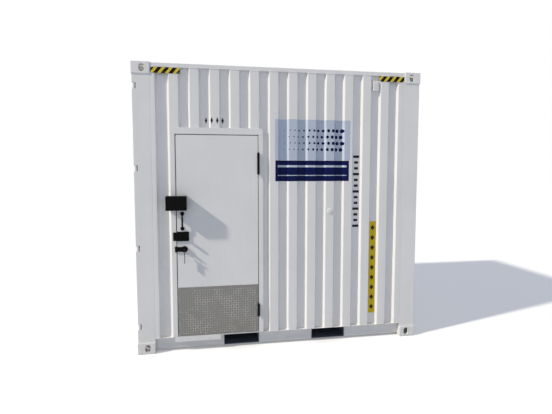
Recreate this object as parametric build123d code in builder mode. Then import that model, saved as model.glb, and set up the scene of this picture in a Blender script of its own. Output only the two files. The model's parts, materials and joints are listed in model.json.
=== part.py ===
from build123d import *
import os
from math import hypot

os.makedirs("parts", exist_ok=True)

# Envelope of a ten-foot high-cube container: X along the door side, Y through it, Z up
length = 2991.0
width = 2438.0
height = 2896.0

# Clearances: parts that move past each other, and butt joints left for the weld
swing_gap = 0.5
slide_gap = 0.3
pin_gap = 0.05
weld_gap = 0.4

# Corner castings
casting_x = 178.0
casting_y = 162.0
casting_z = 118.0
casting_wall = 16.0
casting_chamfer = 5.0
casting_proud = 8.0
aperture_plate = 28.0
aperture_length = 124.0
aperture_width = 63.5
aperture_from_end = 101.5
aperture_from_side = 89.0
side_hole_width = 51.0
end_hole_width = 63.5
face_hole_height = 79.0

# Planes that the rest is set out from
x_end = length / 2 - casting_proud
y_wall = width / 2 - casting_proud
x_bay = length / 2 - casting_x
y_bay = width / 2 - casting_y
z_roof = height - casting_proud
post_top = height - casting_z

# Side rails
rail_foot = 30.0
rail_height = 127.0
rail_sheet = 4.5
rail_top_flange = 48.0
rail_foot_flange = 30.0
top_rail_height = 40.0
top_rail_width = 60.0
tube_wall = 3.0
rail_top = rail_foot + rail_height
rail_web = y_wall - rail_top_flange
web_inside = rail_web - rail_sheet
wall_top = z_roof - top_rail_height

# Fork pockets
pocket_spacing = 945.0
pocket_offset = 31.0
pocket_width = 360.0
pocket_height = 115.0
pocket_wall = 4.0
pocket_lip = 4.0
pocket_roof = rail_top - rail_sheet
pocket_floor = pocket_roof - pocket_wall - pocket_height
pocket_outer = pocket_width + 2 * pocket_wall
pocket_places = [pocket_offset - pocket_spacing / 2, pocket_offset + pocket_spacing / 2]

# Pressed wall, roof and leaf sheets
sheet = 2.0
wall_pitch = 199.4
wall_depth = 36.0
wall_slope = 18.0
wall_floor = 72.0
wall_margin_door_end = 45.0
wall_margin_blind_end = 67.5
narrowest_recess = 56.0
end_depth = 45.0
end_floor = 104.0
end_margin = 60.0
end_count = 8
roof_depth = 20.0
roof_floor = 110.0
roof_margin = 60.0
roof_count = 12

# Room lining
lining = 60.0
deck_thickness = 25.0
deck_foot = pocket_roof
floor_top = deck_foot + deck_thickness
y_room = y_wall - wall_depth - sheet - lining
x_room = x_end - end_depth - sheet - lining
x_partition = -x_bay + lining
ceiling_foot = wall_top - lining

# Cross members under the deck
member_height = 100.0
member_flange = 45.0
member_sheet = 4.0
members_per_bay = 2

# Door-end posts and the hinge slots in their outer edges
post_sheet = 6.0
post_end_width = 61.0
land_width = 40.0
land_depth = 95.5
slot_count = 4
slot_height = 90.0
slot_depth = 39.5
slot_first = 283.0
slot_last_drop = 113.0
lug_thickness = 16.0
cargo_pin_radius = 9.0
cargo_pin_inset = 18.0

# Cargo leaves
leaf_set_back = 37.5
cargo_leaf_thickness = 50.0
cargo_edge_gap = 4.0
cargo_centre_gap = 6.0
cargo_end_gap = 6.0
stile_width = 100.0
leaf_rail_width = 150.0
leaf_frame_wall = 4.0
leaf_panel_depth = 36.0
leaf_panel_slope = 40.0
leaf_panel_floor = 150.0
leaf_panel_margin = 90.0
leaf_panel_count = 5
strap_thickness = 12.0
strap_length = 190.0
knuckle_radius = 16.0
gasket_width = 30.0
gasket_thickness = 7.5
gasket_inset = 4.0
sill_foot = 20.0
sill_top = 150.0
stop_height = 40.0
stop_sheet = 6.0

# Lock rods, cams, keepers, guides and handles of the cargo leaves
rod_radius = 17.0
rod_stand_off = 22.0
rod_outer_place = 870.0
rod_inner_place = 300.0
rod_foot = 70.0
cam_height = 40.0
cam_radius = 20.0
cam_nose_reach = 30.0
cam_nose_radius = 10.0
keeper_gap = 6.0
keeper_wall = 8.0
keeper_depth = 34.0
keeper_hood_gap = 3.0
guide_height = 50.0
guide_wall = 4.0
guide_base_width = 84.0
guide_base = 6.0
hub_radius = 20.0
hub_height = 70.0
handle_length = 480.0
handle_height = 40.0
handle_thickness = 10.0
handle_corner = 12.0
handle_spacing = 130.0
catch_length = 45.0
catch_wall = 6.0
catch_reach = 35.0
catch_gap = 3.0

# Personnel door and its frame
door_from_end = 809.5
door_centre = door_from_end - x_end
leaf_width = 816.0
leaf_height = 2032.0
leaf_corner = 12.0
leaf_thickness = 45.0
leaf_foot = 170.0
leaf_gap = 8.0
jamb_face = 48.0
head_face = 65.0
frame_wall = 3.0
frame_proud = 4.0
stop_width = 25.0
seal_space = 6.0
seal_width = 12.0
tread = 6.0
sill_lip_drop = 50.0
sill_lip_sheet = 4.0
sill_upstand = 33.0
sill_lip_start_inset = 18.0
sill_lip_end_clearance = 32.5
kick_height = 498.0
kick_inset = 2.0
kick_thickness = 2.5
y_face = -(y_wall + frame_proud)
leaf_left = door_centre - leaf_width / 2
leaf_right = door_centre + leaf_width / 2
leaf_top = leaf_foot + leaf_height
leaf_back = y_face + leaf_thickness
stop_face = leaf_back + seal_space
opening_left = leaf_left - leaf_gap
opening_right = leaf_right + leaf_gap
opening_top = leaf_top + leaf_gap
frame_left = opening_left - jamb_face
frame_right = opening_right + jamb_face
frame_top = opening_top + head_face

# Personnel door hinges
hinge_radius = 12.0
hinge_stand_off = 2.0
hinge_pin_radius = 5.0
hinge_plate = 3.0
hinge_plate_depth = 39.0
upper_hinge_foot = 1818.0
upper_hinge_length = 205.0
lower_hinge_foot = 340.0
lower_hinge_length = 120.0
hinge_x = leaf_right + leaf_gap / 2
hinge_y = y_face - hinge_stand_off - hinge_radius

# Lock box over a padlock staple
box_width = 200.0
box_height = 138.0
box_depth = 130.0
box_sheet = 5.0
box_foot = 1462.0
box_on_leaf = 100.0
box_relief = 2.0
staple_thickness = 8.0
staple_reach = 70.0
staple_height = 50.0
staple_hole_radius = 8.0
staple_edge_gap = 4.0
staple_base = 6.0

# Pull handles
pull_centres = 150.0
pull_middle = 1346.0
pull_edge_distance = 53.0
pull_radius = 8.0
pull_stand_off = 34.0
pull_bend = 14.0
rose_radius = 20.0
rose_thickness = 5.0

# Rim lock
rim_width = 120.0
rim_height = 95.0
rim_depth = 16.0
rim_foot = 1145.0
rim_overhang = 4.0
rim_corner = 4.0
bolt_y = 8.0
bolt_z = 24.0
bolt_length = 60.0
bolt_drop = 18.0
bolt_travel = 28.0
bolt_recess = 2.0
rim_keeper_width = 34.0
rim_keeper_height = 82.0
rim_keeper_depth = 18.0
keeper_overhang = 2.5
keeper_slack = 1.0
knob_edge = 80.0
knob_rise = 12.0
knob_radius = 12.0
knob_reach = 85.0
knob_tip = 3.0
knob_base_radius = 17.0
knob_base = 5.0
spindle_radius = 6.0
turn_bar = 30.0
turn_bar_width = 14.0
turn_reach = 22.0

# Latch with its key
latch_reach = 75.0
latch_plate = 47.0
latch_radius = 31.0
latch_depth = 14.0
latch_level = 1063.0
latch_bolt_y = 7.0
latch_bolt_z = 20.0
latch_bolt_length = 40.0
latch_travel = 22.0
latch_keeper_width = 18.0
latch_keeper_height = 57.0
latch_keeper_depth = 16.0
latch_knob_radius = 28.0
latch_knob_depth = 13.5
latch_knob_edge = 3.0
latch_barrel_radius = 12.5
latch_barrel = 20.0
latch_spindle_radius = 8.0
latch_spindle_length = 8.0
key_neck_radius = 4.0
key_neck = 6.0
key_bow_radius = 9.0
key_bow_thickness = 4.0
key_bow_lap = 1.0
key_hole_radius = 3.5
tag_ring_width = 3.0
tag_ring_thickness = 3.0
tag_thickness = 6.0
tag_width = 22.0
tag_head_width = 44.0
tag_head_height = 16.0
tag_drop = 36.0
tag_length = 100.0

# Plates, ventilators and pipe cap on the walls
plate_length = 280.0
plate_height = 55.0
plate_thickness = 3.0
plate_end_gap = 6.0
plate_drop = 3.0
vent_width = 66.0
vent_height = 110.0
vent_depth = 38.0
vent_taper = 6.0
vent_drop = 158.0
vent_foot = wall_top - vent_drop
cap_radius = 25.0
cap_thickness = 9.0
cap_fillet = 4.0
cap_height = 1422.0
cap_crest_count = 4

# Toilet
wc_from_end = 530.5
wc_x = x_room - wc_from_end
pan_height = 400.0
pan_half_width = 180.0
pan_half_length = 230.0
pan_rim_height = 30.0
pan_back_gap = 6.0
pan_foot_half_width = 105.0
pan_foot_half_length = 190.0
pan_waist_half_width = 100.0
pan_waist_half_length = 185.0
pan_waist_height = 170.0
bowl_half_width = 130.0
bowl_half_length = 160.0
bowl_sump = 60.0
bowl_depth = 220.0
shelf_width = 210.0
shelf_thickness = 150.0
cistern_width = 380.0
cistern_depth = 160.0
cistern_height = 360.0
cistern_corner = 30.0
cistern_cover = 30.0
cistern_cover_proud = 6.0
button_radius = 22.0
button_height = 16.0
button_proud = 8.0
button_travel = 6.0
button_edge = 3.0
seat_thickness = 18.0
seat_half_length = 200.0
seat_lap = 15.0
seat_hinge_set_back = 14.0
seat_hinge_radius = 6.0
seat_hinge_barrel = 9.0
seat_hinge_rise = 16.0
seat_hinge_post = 22.0
seat_hinge_spread = 75.0

# Wash basin, tap, trap, mirror and lamp
basin_from_partition = 907.5
basin_x = x_partition + basin_from_partition
basin_width = 450.0
basin_reach = 360.0
basin_height = 150.0
basin_rim = 850.0
basin_foot_width = 260.0
basin_foot_reach = 280.0
basin_corner = 50.0
basin_ledge = 80.0
basin_wall = 28.0
basin_bowl_depth = 110.0
basin_bowl_taper = 30.0
tap_radius = 20.0
tap_height = 90.0
spout_radius = 11.0
spout_reach = 110.0
spout_level = 70.0
tap_lever_length = 75.0
tap_lever_width = 16.0
tap_lever_thickness = 9.0
tap_cap_height = 24.0
tap_pivot_radius = 8.0
tap_pivot_height = 14.0
trap_tail_radius = 16.0
trap_tail = 90.0
trap_bottle_radius = 34.0
trap_bottle = 110.0
trap_outlet_drop = 30.0
mirror_width = 420.0
mirror_height = 600.0
mirror_foot = 1150.0
mirror_thickness = 6.0
mirror_bevel = 3.0
lamp_length = 620.0
lamp_width = 110.0
lamp_height = 62.0
lamp_corner = 26.0


def pressed_sheet(low, high, recesses, slope, depth):
    """Outline of a pressed sheet of even wall: crests at 0, floors at depth, inner face behind."""
    bend_shift = sheet * (hypot(slope, depth) - slope) / depth
    outer = [(low, 0)]
    inner = [(low, sheet)]
    for start, end in recesses:
        outer += [(start, 0), (start + slope, depth), (end - slope, depth), (end, 0)]
        inner += [(start - bend_shift, sheet), (start + slope - bend_shift, depth + sheet)]
        inner += [(end - slope + bend_shift, depth + sheet), (end + bend_shift, sheet)]
    outer.append((high, 0))
    inner.append((high, sheet))
    return outer + inner[::-1]


def even_recesses(low, high, count, recess):
    """Equal recesses, the first starting at low and the last ending at high."""
    pitch = (high - low - recess) / (count - 1)
    return [(low + step * pitch, low + step * pitch + recess) for step in range(count)]


def wall_recesses():
    """Recesses of a side wall, set off from the blind end; the door-end one takes what is left."""
    recess = wall_floor + 2 * wall_slope
    low = -x_bay + wall_margin_door_end
    high = x_bay - wall_margin_blind_end
    count = int((high - low - narrowest_recess) / wall_pitch)
    spans = [(low, high - count * wall_pitch)]
    for step in reversed(range(count)):
        spans.append((high - step * wall_pitch - recess, high - step * wall_pitch))
    return spans


def room_plan(low):
    """Plan of the room between the linings, stepped in at the two blind-end posts."""
    return [
        (low, -y_room),
        (x_bay, -y_room),
        (x_bay, -y_bay),
        (x_room, -y_bay),
        (x_room, y_bay),
        (x_bay, y_bay),
        (x_bay, y_room),
        (low, y_room),
    ]


# Frame of the container

with BuildPart() as corner_castings:
    with BuildSketch():
        with Locations((length / 2 - casting_x / 2, width / 2 - casting_y / 2)):
            Rectangle(casting_x, casting_y)
    extrude(amount=casting_z)
    chamfer(corner_castings.edges(), length=casting_chamfer)
    with BuildSketch(Plane.XY.offset(aperture_plate)):
        with Locations((length / 2 - casting_x / 2, width / 2 - casting_y / 2)):
            Rectangle(casting_x - 2 * casting_wall, casting_y - 2 * casting_wall)
    extrude(amount=casting_z - aperture_plate - casting_wall, mode=Mode.SUBTRACT)
    with BuildSketch():
        with Locations((length / 2 - aperture_from_end, width / 2 - aperture_from_side)):
            SlotOverall(aperture_length, aperture_width)
    extrude(amount=aperture_plate, mode=Mode.SUBTRACT)
    with BuildSketch(Plane.XZ.offset(-width / 2)):
        with Locations((length / 2 - aperture_from_end, casting_z / 2)):
            SlotOverall(face_hole_height, side_hole_width, rotation=90)
    extrude(amount=casting_wall, mode=Mode.SUBTRACT)
    with BuildSketch(Plane.YZ.offset(length / 2)):
        with Locations((width / 2 - aperture_from_side, casting_z / 2)):
            SlotOverall(face_hole_height, end_hole_width, rotation=90)
    extrude(amount=-casting_wall, mode=Mode.SUBTRACT)
    mirror(about=Plane.YZ)
    mirror(about=Plane.XZ)
    mirror(about=Plane.XY.offset(height / 2))
corner_castings.part.label = "corner_castings"
export_step(corner_castings.part, "parts/corner_castings.step")

post_face = -y_wall + post_end_width
post_land = -x_end + land_depth
slot_spacing = (post_top - slot_last_drop - slot_first) / (slot_count - 1)
slot_feet = [slot_first + step * slot_spacing - slot_height / 2 for step in range(slot_count)]
cargo_pin_x = -x_end + cargo_pin_inset
cargo_pin_y = y_wall - cargo_pin_inset
lug_planes = []
for slot_foot in slot_feet:
    lug_planes.append(Plane.XY.offset(slot_foot))
    lug_planes.append(Plane.XY.offset(slot_foot + slot_height - lug_thickness))

with BuildPart() as door_end_posts:
    with BuildSketch(Plane.XY.offset(casting_z)):
        with Locations((-x_end, -y_wall)):
            Rectangle(x_end - x_bay, post_end_width, align=(Align.MIN, Align.MIN))
        offset(amount=-post_sheet, kind=Kind.INTERSECTION, mode=Mode.SUBTRACT)
    extrude(amount=post_top - casting_z)
    with BuildSketch(*[Plane.XY.offset(slot_foot) for slot_foot in slot_feet]):
        with Locations((-x_end, -y_wall)):
            Rectangle(slot_depth, post_end_width, align=(Align.MIN, Align.MIN))
    extrude(amount=slot_height, mode=Mode.SUBTRACT)
    with BuildSketch(*lug_planes):
        with Locations((-x_end, -y_wall)):
            Rectangle(slot_depth, post_end_width, align=(Align.MIN, Align.MIN))
        with Locations((cargo_pin_x, -cargo_pin_y)):
            Circle(cargo_pin_radius, mode=Mode.SUBTRACT)
    extrude(amount=lug_thickness)
    with BuildSketch(Plane.XY.offset(casting_z)):
        with Locations((post_land, post_face + weld_gap)):
            Rectangle(-x_bay - post_land, land_width - weld_gap, align=(Align.MIN, Align.MIN))
        offset(amount=-post_sheet, kind=Kind.INTERSECTION, mode=Mode.SUBTRACT)
    extrude(amount=post_top - casting_z)
    mirror(about=Plane.XZ)
door_end_posts.part.label = "door_end_posts"
export_step(door_end_posts.part, "parts/door_end_posts.step")

with BuildPart() as blind_end_posts:
    with BuildSketch(Plane.XY.offset(casting_z)):
        with Locations((x_bay, y_bay)):
            Rectangle(x_end - x_bay, y_wall - y_bay, align=(Align.MIN, Align.MIN))
        offset(amount=-post_sheet, kind=Kind.INTERSECTION, mode=Mode.SUBTRACT)
    extrude(amount=post_top - casting_z)
    mirror(about=Plane.XZ)
blind_end_posts.part.label = "blind_end_posts"
export_step(blind_end_posts.part, "parts/blind_end_posts.step")

with BuildPart() as top_side_rails:
    with BuildSketch(Plane.YZ.offset(-x_bay)):
        with Locations((y_wall, z_roof)):
            Rectangle(top_rail_width, top_rail_height, align=(Align.MAX, Align.MAX))
        offset(amount=-tube_wall, kind=Kind.INTERSECTION, mode=Mode.SUBTRACT)
    extrude(amount=2 * x_bay)
    mirror(about=Plane.XZ)
top_side_rails.part.label = "top_side_rails"
export_step(top_side_rails.part, "parts/top_side_rails.step")

flange_edge = web_inside - rail_foot_flange
rail_joints = []
for place in pocket_places:
    rail_joints += [place - pocket_outer / 2, place + pocket_outer / 2]

with BuildPart() as bottom_side_rails:
    with BuildSketch(Plane.YZ.offset(-x_bay)):
        with BuildLine():
            Polyline(
                (flange_edge, rail_foot),
                (rail_web, rail_foot),
                (rail_web, rail_top - rail_sheet),
                (y_wall, rail_top - rail_sheet),
                (y_wall, rail_top),
                (web_inside, rail_top),
                (web_inside, rail_foot + rail_sheet),
                (flange_edge, rail_foot + rail_sheet),
                close=True,
            )
        make_face()
    extrude(amount=2 * x_bay)
    with BuildSketch(Plane.XZ.offset(-y_wall)):
        with Locations(*[(place, pocket_roof) for place in pocket_places]):
            Rectangle(pocket_outer, rail_height, align=(Align.CENTER, Align.MAX))
        with Locations(*[(joint, rail_top) for joint in rail_joints]):
            Rectangle(weld_gap, rail_height, align=(Align.CENTER, Align.MAX))
    extrude(amount=y_wall - flange_edge, mode=Mode.SUBTRACT)
    mirror(about=Plane.XZ)
bottom_side_rails.part.label = "bottom_side_rails"
export_step(bottom_side_rails.part, "parts/bottom_side_rails.step")

pocket_sides = []
for place in pocket_places:
    pocket_sides.append(place - pocket_width / 2 - pocket_wall / 2)
    pocket_sides.append(place + pocket_width / 2 + pocket_wall / 2)

with BuildPart() as fork_pockets:
    with BuildSketch(Plane.XZ.offset(rail_web + pocket_lip)):
        with Locations(*[(place, pocket_roof) for place in pocket_places]):
            Rectangle(pocket_outer, pocket_wall, align=(Align.CENTER, Align.MAX))
        with Locations(*[(place, pocket_floor) for place in pocket_places]):
            Rectangle(pocket_outer, pocket_wall, align=(Align.CENTER, Align.MAX))
        with Locations(*[(side, pocket_floor + weld_gap) for side in pocket_sides]):
            Rectangle(pocket_wall, pocket_height - 2 * weld_gap, align=(Align.CENTER, Align.MIN))
    extrude(amount=-2 * (rail_web + pocket_lip))
fork_pockets.part.label = "fork_pockets"
export_step(fork_pockets.part, "parts/fork_pockets.step")

x_leaf = -x_end + leaf_set_back
x_leaf_back = x_leaf + cargo_leaf_thickness
x_stop = x_leaf_back + gasket_thickness + swing_gap

with BuildPart() as cargo_end_rails:
    with BuildSketch(Plane.XZ.offset(y_bay)):
        with Locations((x_leaf, post_top)):
            Rectangle(-x_bay - x_leaf, z_roof - post_top, align=(Align.MIN, Align.MIN))
        with Locations((x_leaf, sill_foot)):
            Rectangle(-x_bay - x_leaf, sill_top - sill_foot, align=(Align.MIN, Align.MIN))
        offset(amount=-tube_wall, kind=Kind.INTERSECTION, mode=Mode.SUBTRACT)
        with Locations((x_stop, post_top - weld_gap)):
            Rectangle(stop_sheet, stop_height - weld_gap, align=(Align.MIN, Align.MAX))
        with Locations((x_stop, sill_top + weld_gap)):
            Rectangle(stop_sheet, stop_height - weld_gap, align=(Align.MIN, Align.MIN))
    extrude(amount=-2 * y_bay)
cargo_end_rails.part.label = "cargo_end_rails"
export_step(cargo_end_rails.part, "parts/cargo_end_rails.step")

with BuildPart() as blind_end_rails:
    with BuildSketch(Plane.XZ.offset(y_bay)):
        with Locations((x_end, z_roof)):
            Rectangle(x_end - x_bay, top_rail_height, align=(Align.MAX, Align.MAX))
        with Locations((x_end, rail_foot)):
            Rectangle(top_rail_width, rail_height, align=(Align.MAX, Align.MIN))
        offset(amount=-tube_wall, kind=Kind.INTERSECTION, mode=Mode.SUBTRACT)
    extrude(amount=-2 * y_bay)
blind_end_rails.part.label = "blind_end_rails"
export_step(blind_end_rails.part, "parts/blind_end_rails.step")

bay_edges = [-x_bay, *pocket_places, x_bay]
member_places = []
for low, high in zip(bay_edges[:-1], bay_edges[1:]):
    free_low = low if low == -x_bay else low + pocket_outer / 2
    free_high = high if high == x_bay else high - pocket_outer / 2
    member_step = (free_high - free_low) / (members_per_bay + 1)
    for step in range(members_per_bay):
        member_places.append(free_low + (step + 1) * member_step)

with BuildPart() as cross_members:
    with BuildSketch(Plane.XZ.offset(web_inside)):
        with Locations(*[(place, deck_foot) for place in member_places]):
            Rectangle(member_flange, member_height, align=(Align.CENTER, Align.MAX))
        with Locations(*[(place + member_sheet, deck_foot - member_sheet) for place in member_places]):
            Rectangle(
                member_flange,
                member_height - 2 * member_sheet,
                align=(Align.CENTER, Align.MAX),
                mode=Mode.SUBTRACT,
            )
    extrude(amount=-2 * web_inside)
cross_members.part.label = "cross_members"
export_step(cross_members.part, "parts/cross_members.step")

# Pressed walls and roof

frame_weld_lines = [frame_left, frame_right]

with BuildPart() as front_wall:
    with BuildSketch(Plane.XY.offset(rail_top)):
        with BuildLine():
            outline = pressed_sheet(-x_bay, x_bay, wall_recesses(), wall_slope, wall_depth)
            Polyline(*[(along, inward - y_wall) for along, inward in outline], close=True)
        make_face()
    extrude(amount=wall_top - rail_top)
    with BuildSketch(Plane.XZ.offset(y_wall)):
        with Locations((door_centre, rail_top)):
            Rectangle(
                frame_right - frame_left,
                frame_top - rail_top,
                align=(Align.CENTER, Align.MIN),
            )
        with Locations(*[(place, frame_top) for place in frame_weld_lines]):
            Rectangle(weld_gap, wall_top - frame_top, align=(Align.CENTER, Align.MIN))
    extrude(amount=-(wall_depth + sheet), mode=Mode.SUBTRACT)
front_wall.part.label = "front_wall"
export_step(front_wall.part, "parts/front_wall.step")

with BuildPart() as rear_wall:
    with BuildSketch(Plane.XY.offset(rail_top)):
        with BuildLine():
            outline = pressed_sheet(-x_bay, x_bay, wall_recesses(), wall_slope, wall_depth)
            Polyline(*[(along, y_wall - inward) for along, inward in outline], close=True)
        make_face()
    extrude(amount=wall_top - rail_top)
rear_wall.part.label = "rear_wall"
export_step(rear_wall.part, "parts/rear_wall.step")

with BuildPart() as end_wall:
    with BuildSketch(Plane.XY.offset(rail_top)):
        with BuildLine():
            recess = end_floor + 2 * wall_slope
            spans = even_recesses(-y_bay + end_margin, y_bay - end_margin, end_count, recess)
            outline = pressed_sheet(-y_bay, y_bay, spans, wall_slope, end_depth)
            Polyline(*[(x_end - inward, along) for along, inward in outline], close=True)
        make_face()
    extrude(amount=wall_top - rail_top)
end_wall.part.label = "end_wall"
export_step(end_wall.part, "parts/end_wall.step")

roof_side = y_wall - top_rail_width

with BuildPart() as roof_panel:
    with BuildSketch(Plane.XZ.offset(roof_side)):
        with BuildLine():
            recess = roof_floor + 2 * wall_slope
            spans = even_recesses(-x_bay + roof_margin, x_bay - roof_margin, roof_count, recess)
            outline = pressed_sheet(-x_bay, x_bay, spans, wall_slope, roof_depth)
            Polyline(*[(along, z_roof - inward) for along, inward in outline], close=True)
        make_face()
    extrude(amount=-2 * roof_side)
roof_panel.part.label = "roof_panel"
export_step(roof_panel.part, "parts/roof_panel.step")

with BuildPart() as marking_plates:
    with BuildSketch(Plane.XZ.offset(y_wall)):
        with Locations((x_bay - plate_end_gap, wall_top - plate_drop)):
            Rectangle(plate_length, plate_height, align=(Align.MAX, Align.MAX))
        mirror(about=Plane.YZ)
    extrude(amount=plate_thickness)
    mirror(about=Plane.XZ)
marking_plates.part.label = "marking_plates"
export_step(marking_plates.part, "parts/marking_plates.step")

vent_recess = wall_recesses()[-2]
vent_x = (vent_recess[0] + vent_recess[1]) / 2

with BuildPart() as vent_covers:
    with BuildSketch(Plane.XZ.offset(y_wall - wall_depth)):
        with Locations((vent_x, vent_foot)):
            Rectangle(vent_width, vent_height, align=(Align.CENTER, Align.MIN))
    extrude(amount=vent_depth, taper=vent_taper)
    with BuildSketch(Plane.XZ.offset(-(y_wall - wall_depth))):
        with Locations((vent_x, vent_foot)):
            Rectangle(vent_width, vent_height, align=(Align.CENTER, Align.MIN))
    extrude(amount=-vent_depth, taper=vent_taper)
vent_covers.part.label = "vent_covers"
export_step(vent_covers.part, "parts/vent_covers.step")

cap_x = (wall_recesses()[-cap_crest_count - 1][1] + wall_recesses()[-cap_crest_count][0]) / 2

with BuildPart() as pipe_cap:
    with BuildSketch(Plane.XZ.offset(y_wall)):
        with Locations((cap_x, cap_height)):
            Circle(cap_radius)
    extrude(amount=cap_thickness)
    fillet(pipe_cap.faces().sort_by(Axis.Y)[0].edges(), radius=cap_fillet)
pipe_cap.part.label = "pipe_cap"
export_step(pipe_cap.part, "parts/pipe_cap.step")

# Floor, lining and partition of the room

with BuildPart() as floor_deck:
    with BuildSketch(Plane.XY.offset(deck_foot)):
        with BuildLine():
            Polyline(*room_plan(-x_bay), close=True)
        make_face()
    extrude(amount=deck_thickness)
floor_deck.part.label = "floor_deck"
export_step(floor_deck.part, "parts/floor_deck.step")

lining_back = y_room + lining

with BuildPart() as room_lining:
    with BuildSketch(Plane.XZ.offset(lining_back)):
        with Locations((-x_bay, rail_top)):
            Rectangle(frame_left + x_bay, wall_top - rail_top, align=(Align.MIN, Align.MIN))
        with Locations((frame_left + weld_gap, frame_top)):
            Rectangle(
                frame_right - frame_left - 2 * weld_gap,
                wall_top - frame_top,
                align=(Align.MIN, Align.MIN),
            )
        with Locations((x_bay, rail_top)):
            Rectangle(x_bay - frame_right, wall_top - rail_top, align=(Align.MAX, Align.MIN))
    extrude(amount=-lining)
    with BuildSketch(Plane.XZ.offset(-y_room)):
        with Locations((0, rail_top)):
            Rectangle(2 * x_bay, wall_top - rail_top, align=(Align.CENTER, Align.MIN))
    extrude(amount=-lining)
    with BuildSketch(Plane.YZ.offset(x_room)):
        with Locations((0, rail_top)):
            Rectangle(2 * y_bay, wall_top - rail_top, align=(Align.CENTER, Align.MIN))
    extrude(amount=lining)
    with BuildSketch(Plane.XY.offset(ceiling_foot)):
        with BuildLine():
            Polyline(*room_plan(x_partition), close=True)
        make_face()
        offset(amount=-weld_gap, kind=Kind.INTERSECTION, mode=Mode.REPLACE)
    extrude(amount=lining)
room_lining.part.label = "room_lining"
export_step(room_lining.part, "parts/room_lining.step")

with BuildPart() as partition:
    with BuildSketch(Plane.XY.offset(floor_top)):
        with Locations((-x_bay, 0)):
            Rectangle(lining, 2 * y_room, align=(Align.MIN, Align.CENTER))
    extrude(amount=wall_top - floor_top)
partition.part.label = "partition"
export_step(partition.part, "parts/partition.step")

# Personnel door frame, sill and seal

with BuildPart() as door_frame:
    with BuildSketch(Plane.XY.offset(rail_top)):
        with Locations((frame_left, y_face)):
            Rectangle(jamb_face, -y_room - y_face, align=(Align.MIN, Align.MIN))
        with Locations((opening_left + weld_gap, stop_face)):
            Rectangle(stop_width - weld_gap, -y_room - stop_face, align=(Align.MIN, Align.MIN))
        offset(amount=-frame_wall, kind=Kind.INTERSECTION, mode=Mode.SUBTRACT)
    extrude(amount=opening_top - stop_width - weld_gap - rail_top)
    with BuildSketch(Plane.XY.offset(opening_top - stop_width - weld_gap)):
        with Locations((frame_left, y_face)):
            Rectangle(jamb_face, -y_room - y_face, align=(Align.MIN, Align.MIN))
        offset(amount=-frame_wall, kind=Kind.INTERSECTION, mode=Mode.SUBTRACT)
    extrude(amount=stop_width)
    mirror(about=Plane.YZ.offset(door_centre))
    with BuildSketch(Plane.YZ.offset(frame_left)):
        with Locations((y_face, opening_top)):
            Rectangle(-y_room - y_face, head_face, align=(Align.MIN, Align.MIN))
        offset(amount=-frame_wall, kind=Kind.INTERSECTION, mode=Mode.SUBTRACT)
    extrude(amount=frame_right - frame_left)
    with BuildSketch(Plane.YZ.offset(opening_left + weld_gap)):
        with Locations((stop_face, opening_top - weld_gap)):
            Rectangle(-y_room - stop_face, stop_width - weld_gap, align=(Align.MIN, Align.MAX))
        offset(amount=-frame_wall, kind=Kind.INTERSECTION, mode=Mode.SUBTRACT)
    extrude(amount=opening_right - opening_left - 2 * weld_gap)
door_frame.part.label = "door_frame"
export_step(door_frame.part, "parts/door_frame.step")

lip_start = frame_left + sill_lip_start_inset
lip_end = pocket_places[0] - pocket_outer / 2 - sill_lip_end_clearance

with BuildPart() as door_sill:
    with BuildSketch(Plane.YZ.offset(opening_left)):
        with Locations((y_face, rail_top)):
            Rectangle(stop_face - y_face, tread, align=(Align.MIN, Align.MIN))
    extrude(amount=opening_right - opening_left)
    with BuildSketch(Plane.YZ.offset(opening_left + stop_width)):
        with Locations((stop_face + weld_gap, rail_top)):
            Rectangle(-y_room - stop_face - weld_gap, sill_upstand, align=(Align.MIN, Align.MIN))
    extrude(amount=opening_right - opening_left - 2 * stop_width)
    with BuildSketch(Plane.XZ.offset(y_wall)):
        with Locations((lip_start, rail_top - weld_gap)):
            Rectangle(lip_end - lip_start, sill_lip_drop, align=(Align.MIN, Align.MAX))
    extrude(amount=sill_lip_sheet)
door_sill.part.label = "door_sill"
export_step(door_sill.part, "parts/door_sill.step")

seal_foot = rail_top + sill_upstand
seal_inner_left = opening_left + seal_width
seal_inner_right = opening_right - seal_width

with BuildPart() as door_seal:
    with BuildSketch(Plane.XZ.offset(-stop_face)):
        with Locations((door_centre, seal_foot)):
            Rectangle(
                opening_right - opening_left,
                opening_top - seal_foot,
                align=(Align.CENTER, Align.MIN),
            )
            Rectangle(
                seal_inner_right - seal_inner_left,
                opening_top - seal_width - seal_foot,
                align=(Align.CENTER, Align.MIN),
                mode=Mode.SUBTRACT,
            )
    extrude(amount=seal_space - swing_gap)
door_seal.part.label = "door_seal"
export_step(door_seal.part, "parts/door_seal.step")

# Personnel door leaf with its plate and hinges

rim_left = leaf_left - rim_overhang
rim_right = rim_left + rim_width
rim_middle = rim_foot + rim_height / 2
bolt_level = rim_middle - bolt_drop
knob_x = rim_right - knob_edge
knob_level = rim_middle + knob_rise
latch_x = rim_left + latch_reach

with BuildPart() as door_leaf:
    with BuildSketch(Plane.XZ.offset(-leaf_back)):
        with Locations((door_centre, leaf_foot)):
            Rectangle(leaf_width, leaf_height, align=(Align.CENTER, Align.MIN))
        with Locations((knob_x, knob_level)):
            Circle(spindle_radius + slide_gap, mode=Mode.SUBTRACT)
    extrude(amount=leaf_thickness)
    fillet(door_leaf.edges().filter_by(Axis.Y).group_by(Axis.Z)[-1], radius=leaf_corner)
door_leaf.part.label = "door_leaf"
export_step(door_leaf.part, "parts/door_leaf.step")

with BuildPart() as kick_plate:
    with BuildSketch(Plane.XZ.offset(-y_face)):
        with Locations((door_centre, leaf_foot + kick_inset)):
            Rectangle(leaf_width - 2 * kick_inset, kick_height, align=(Align.CENTER, Align.MIN))
    extrude(amount=kick_thickness)
kick_plate.part.label = "kick_plate"
export_step(kick_plate.part, "parts/kick_plate.step")

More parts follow.
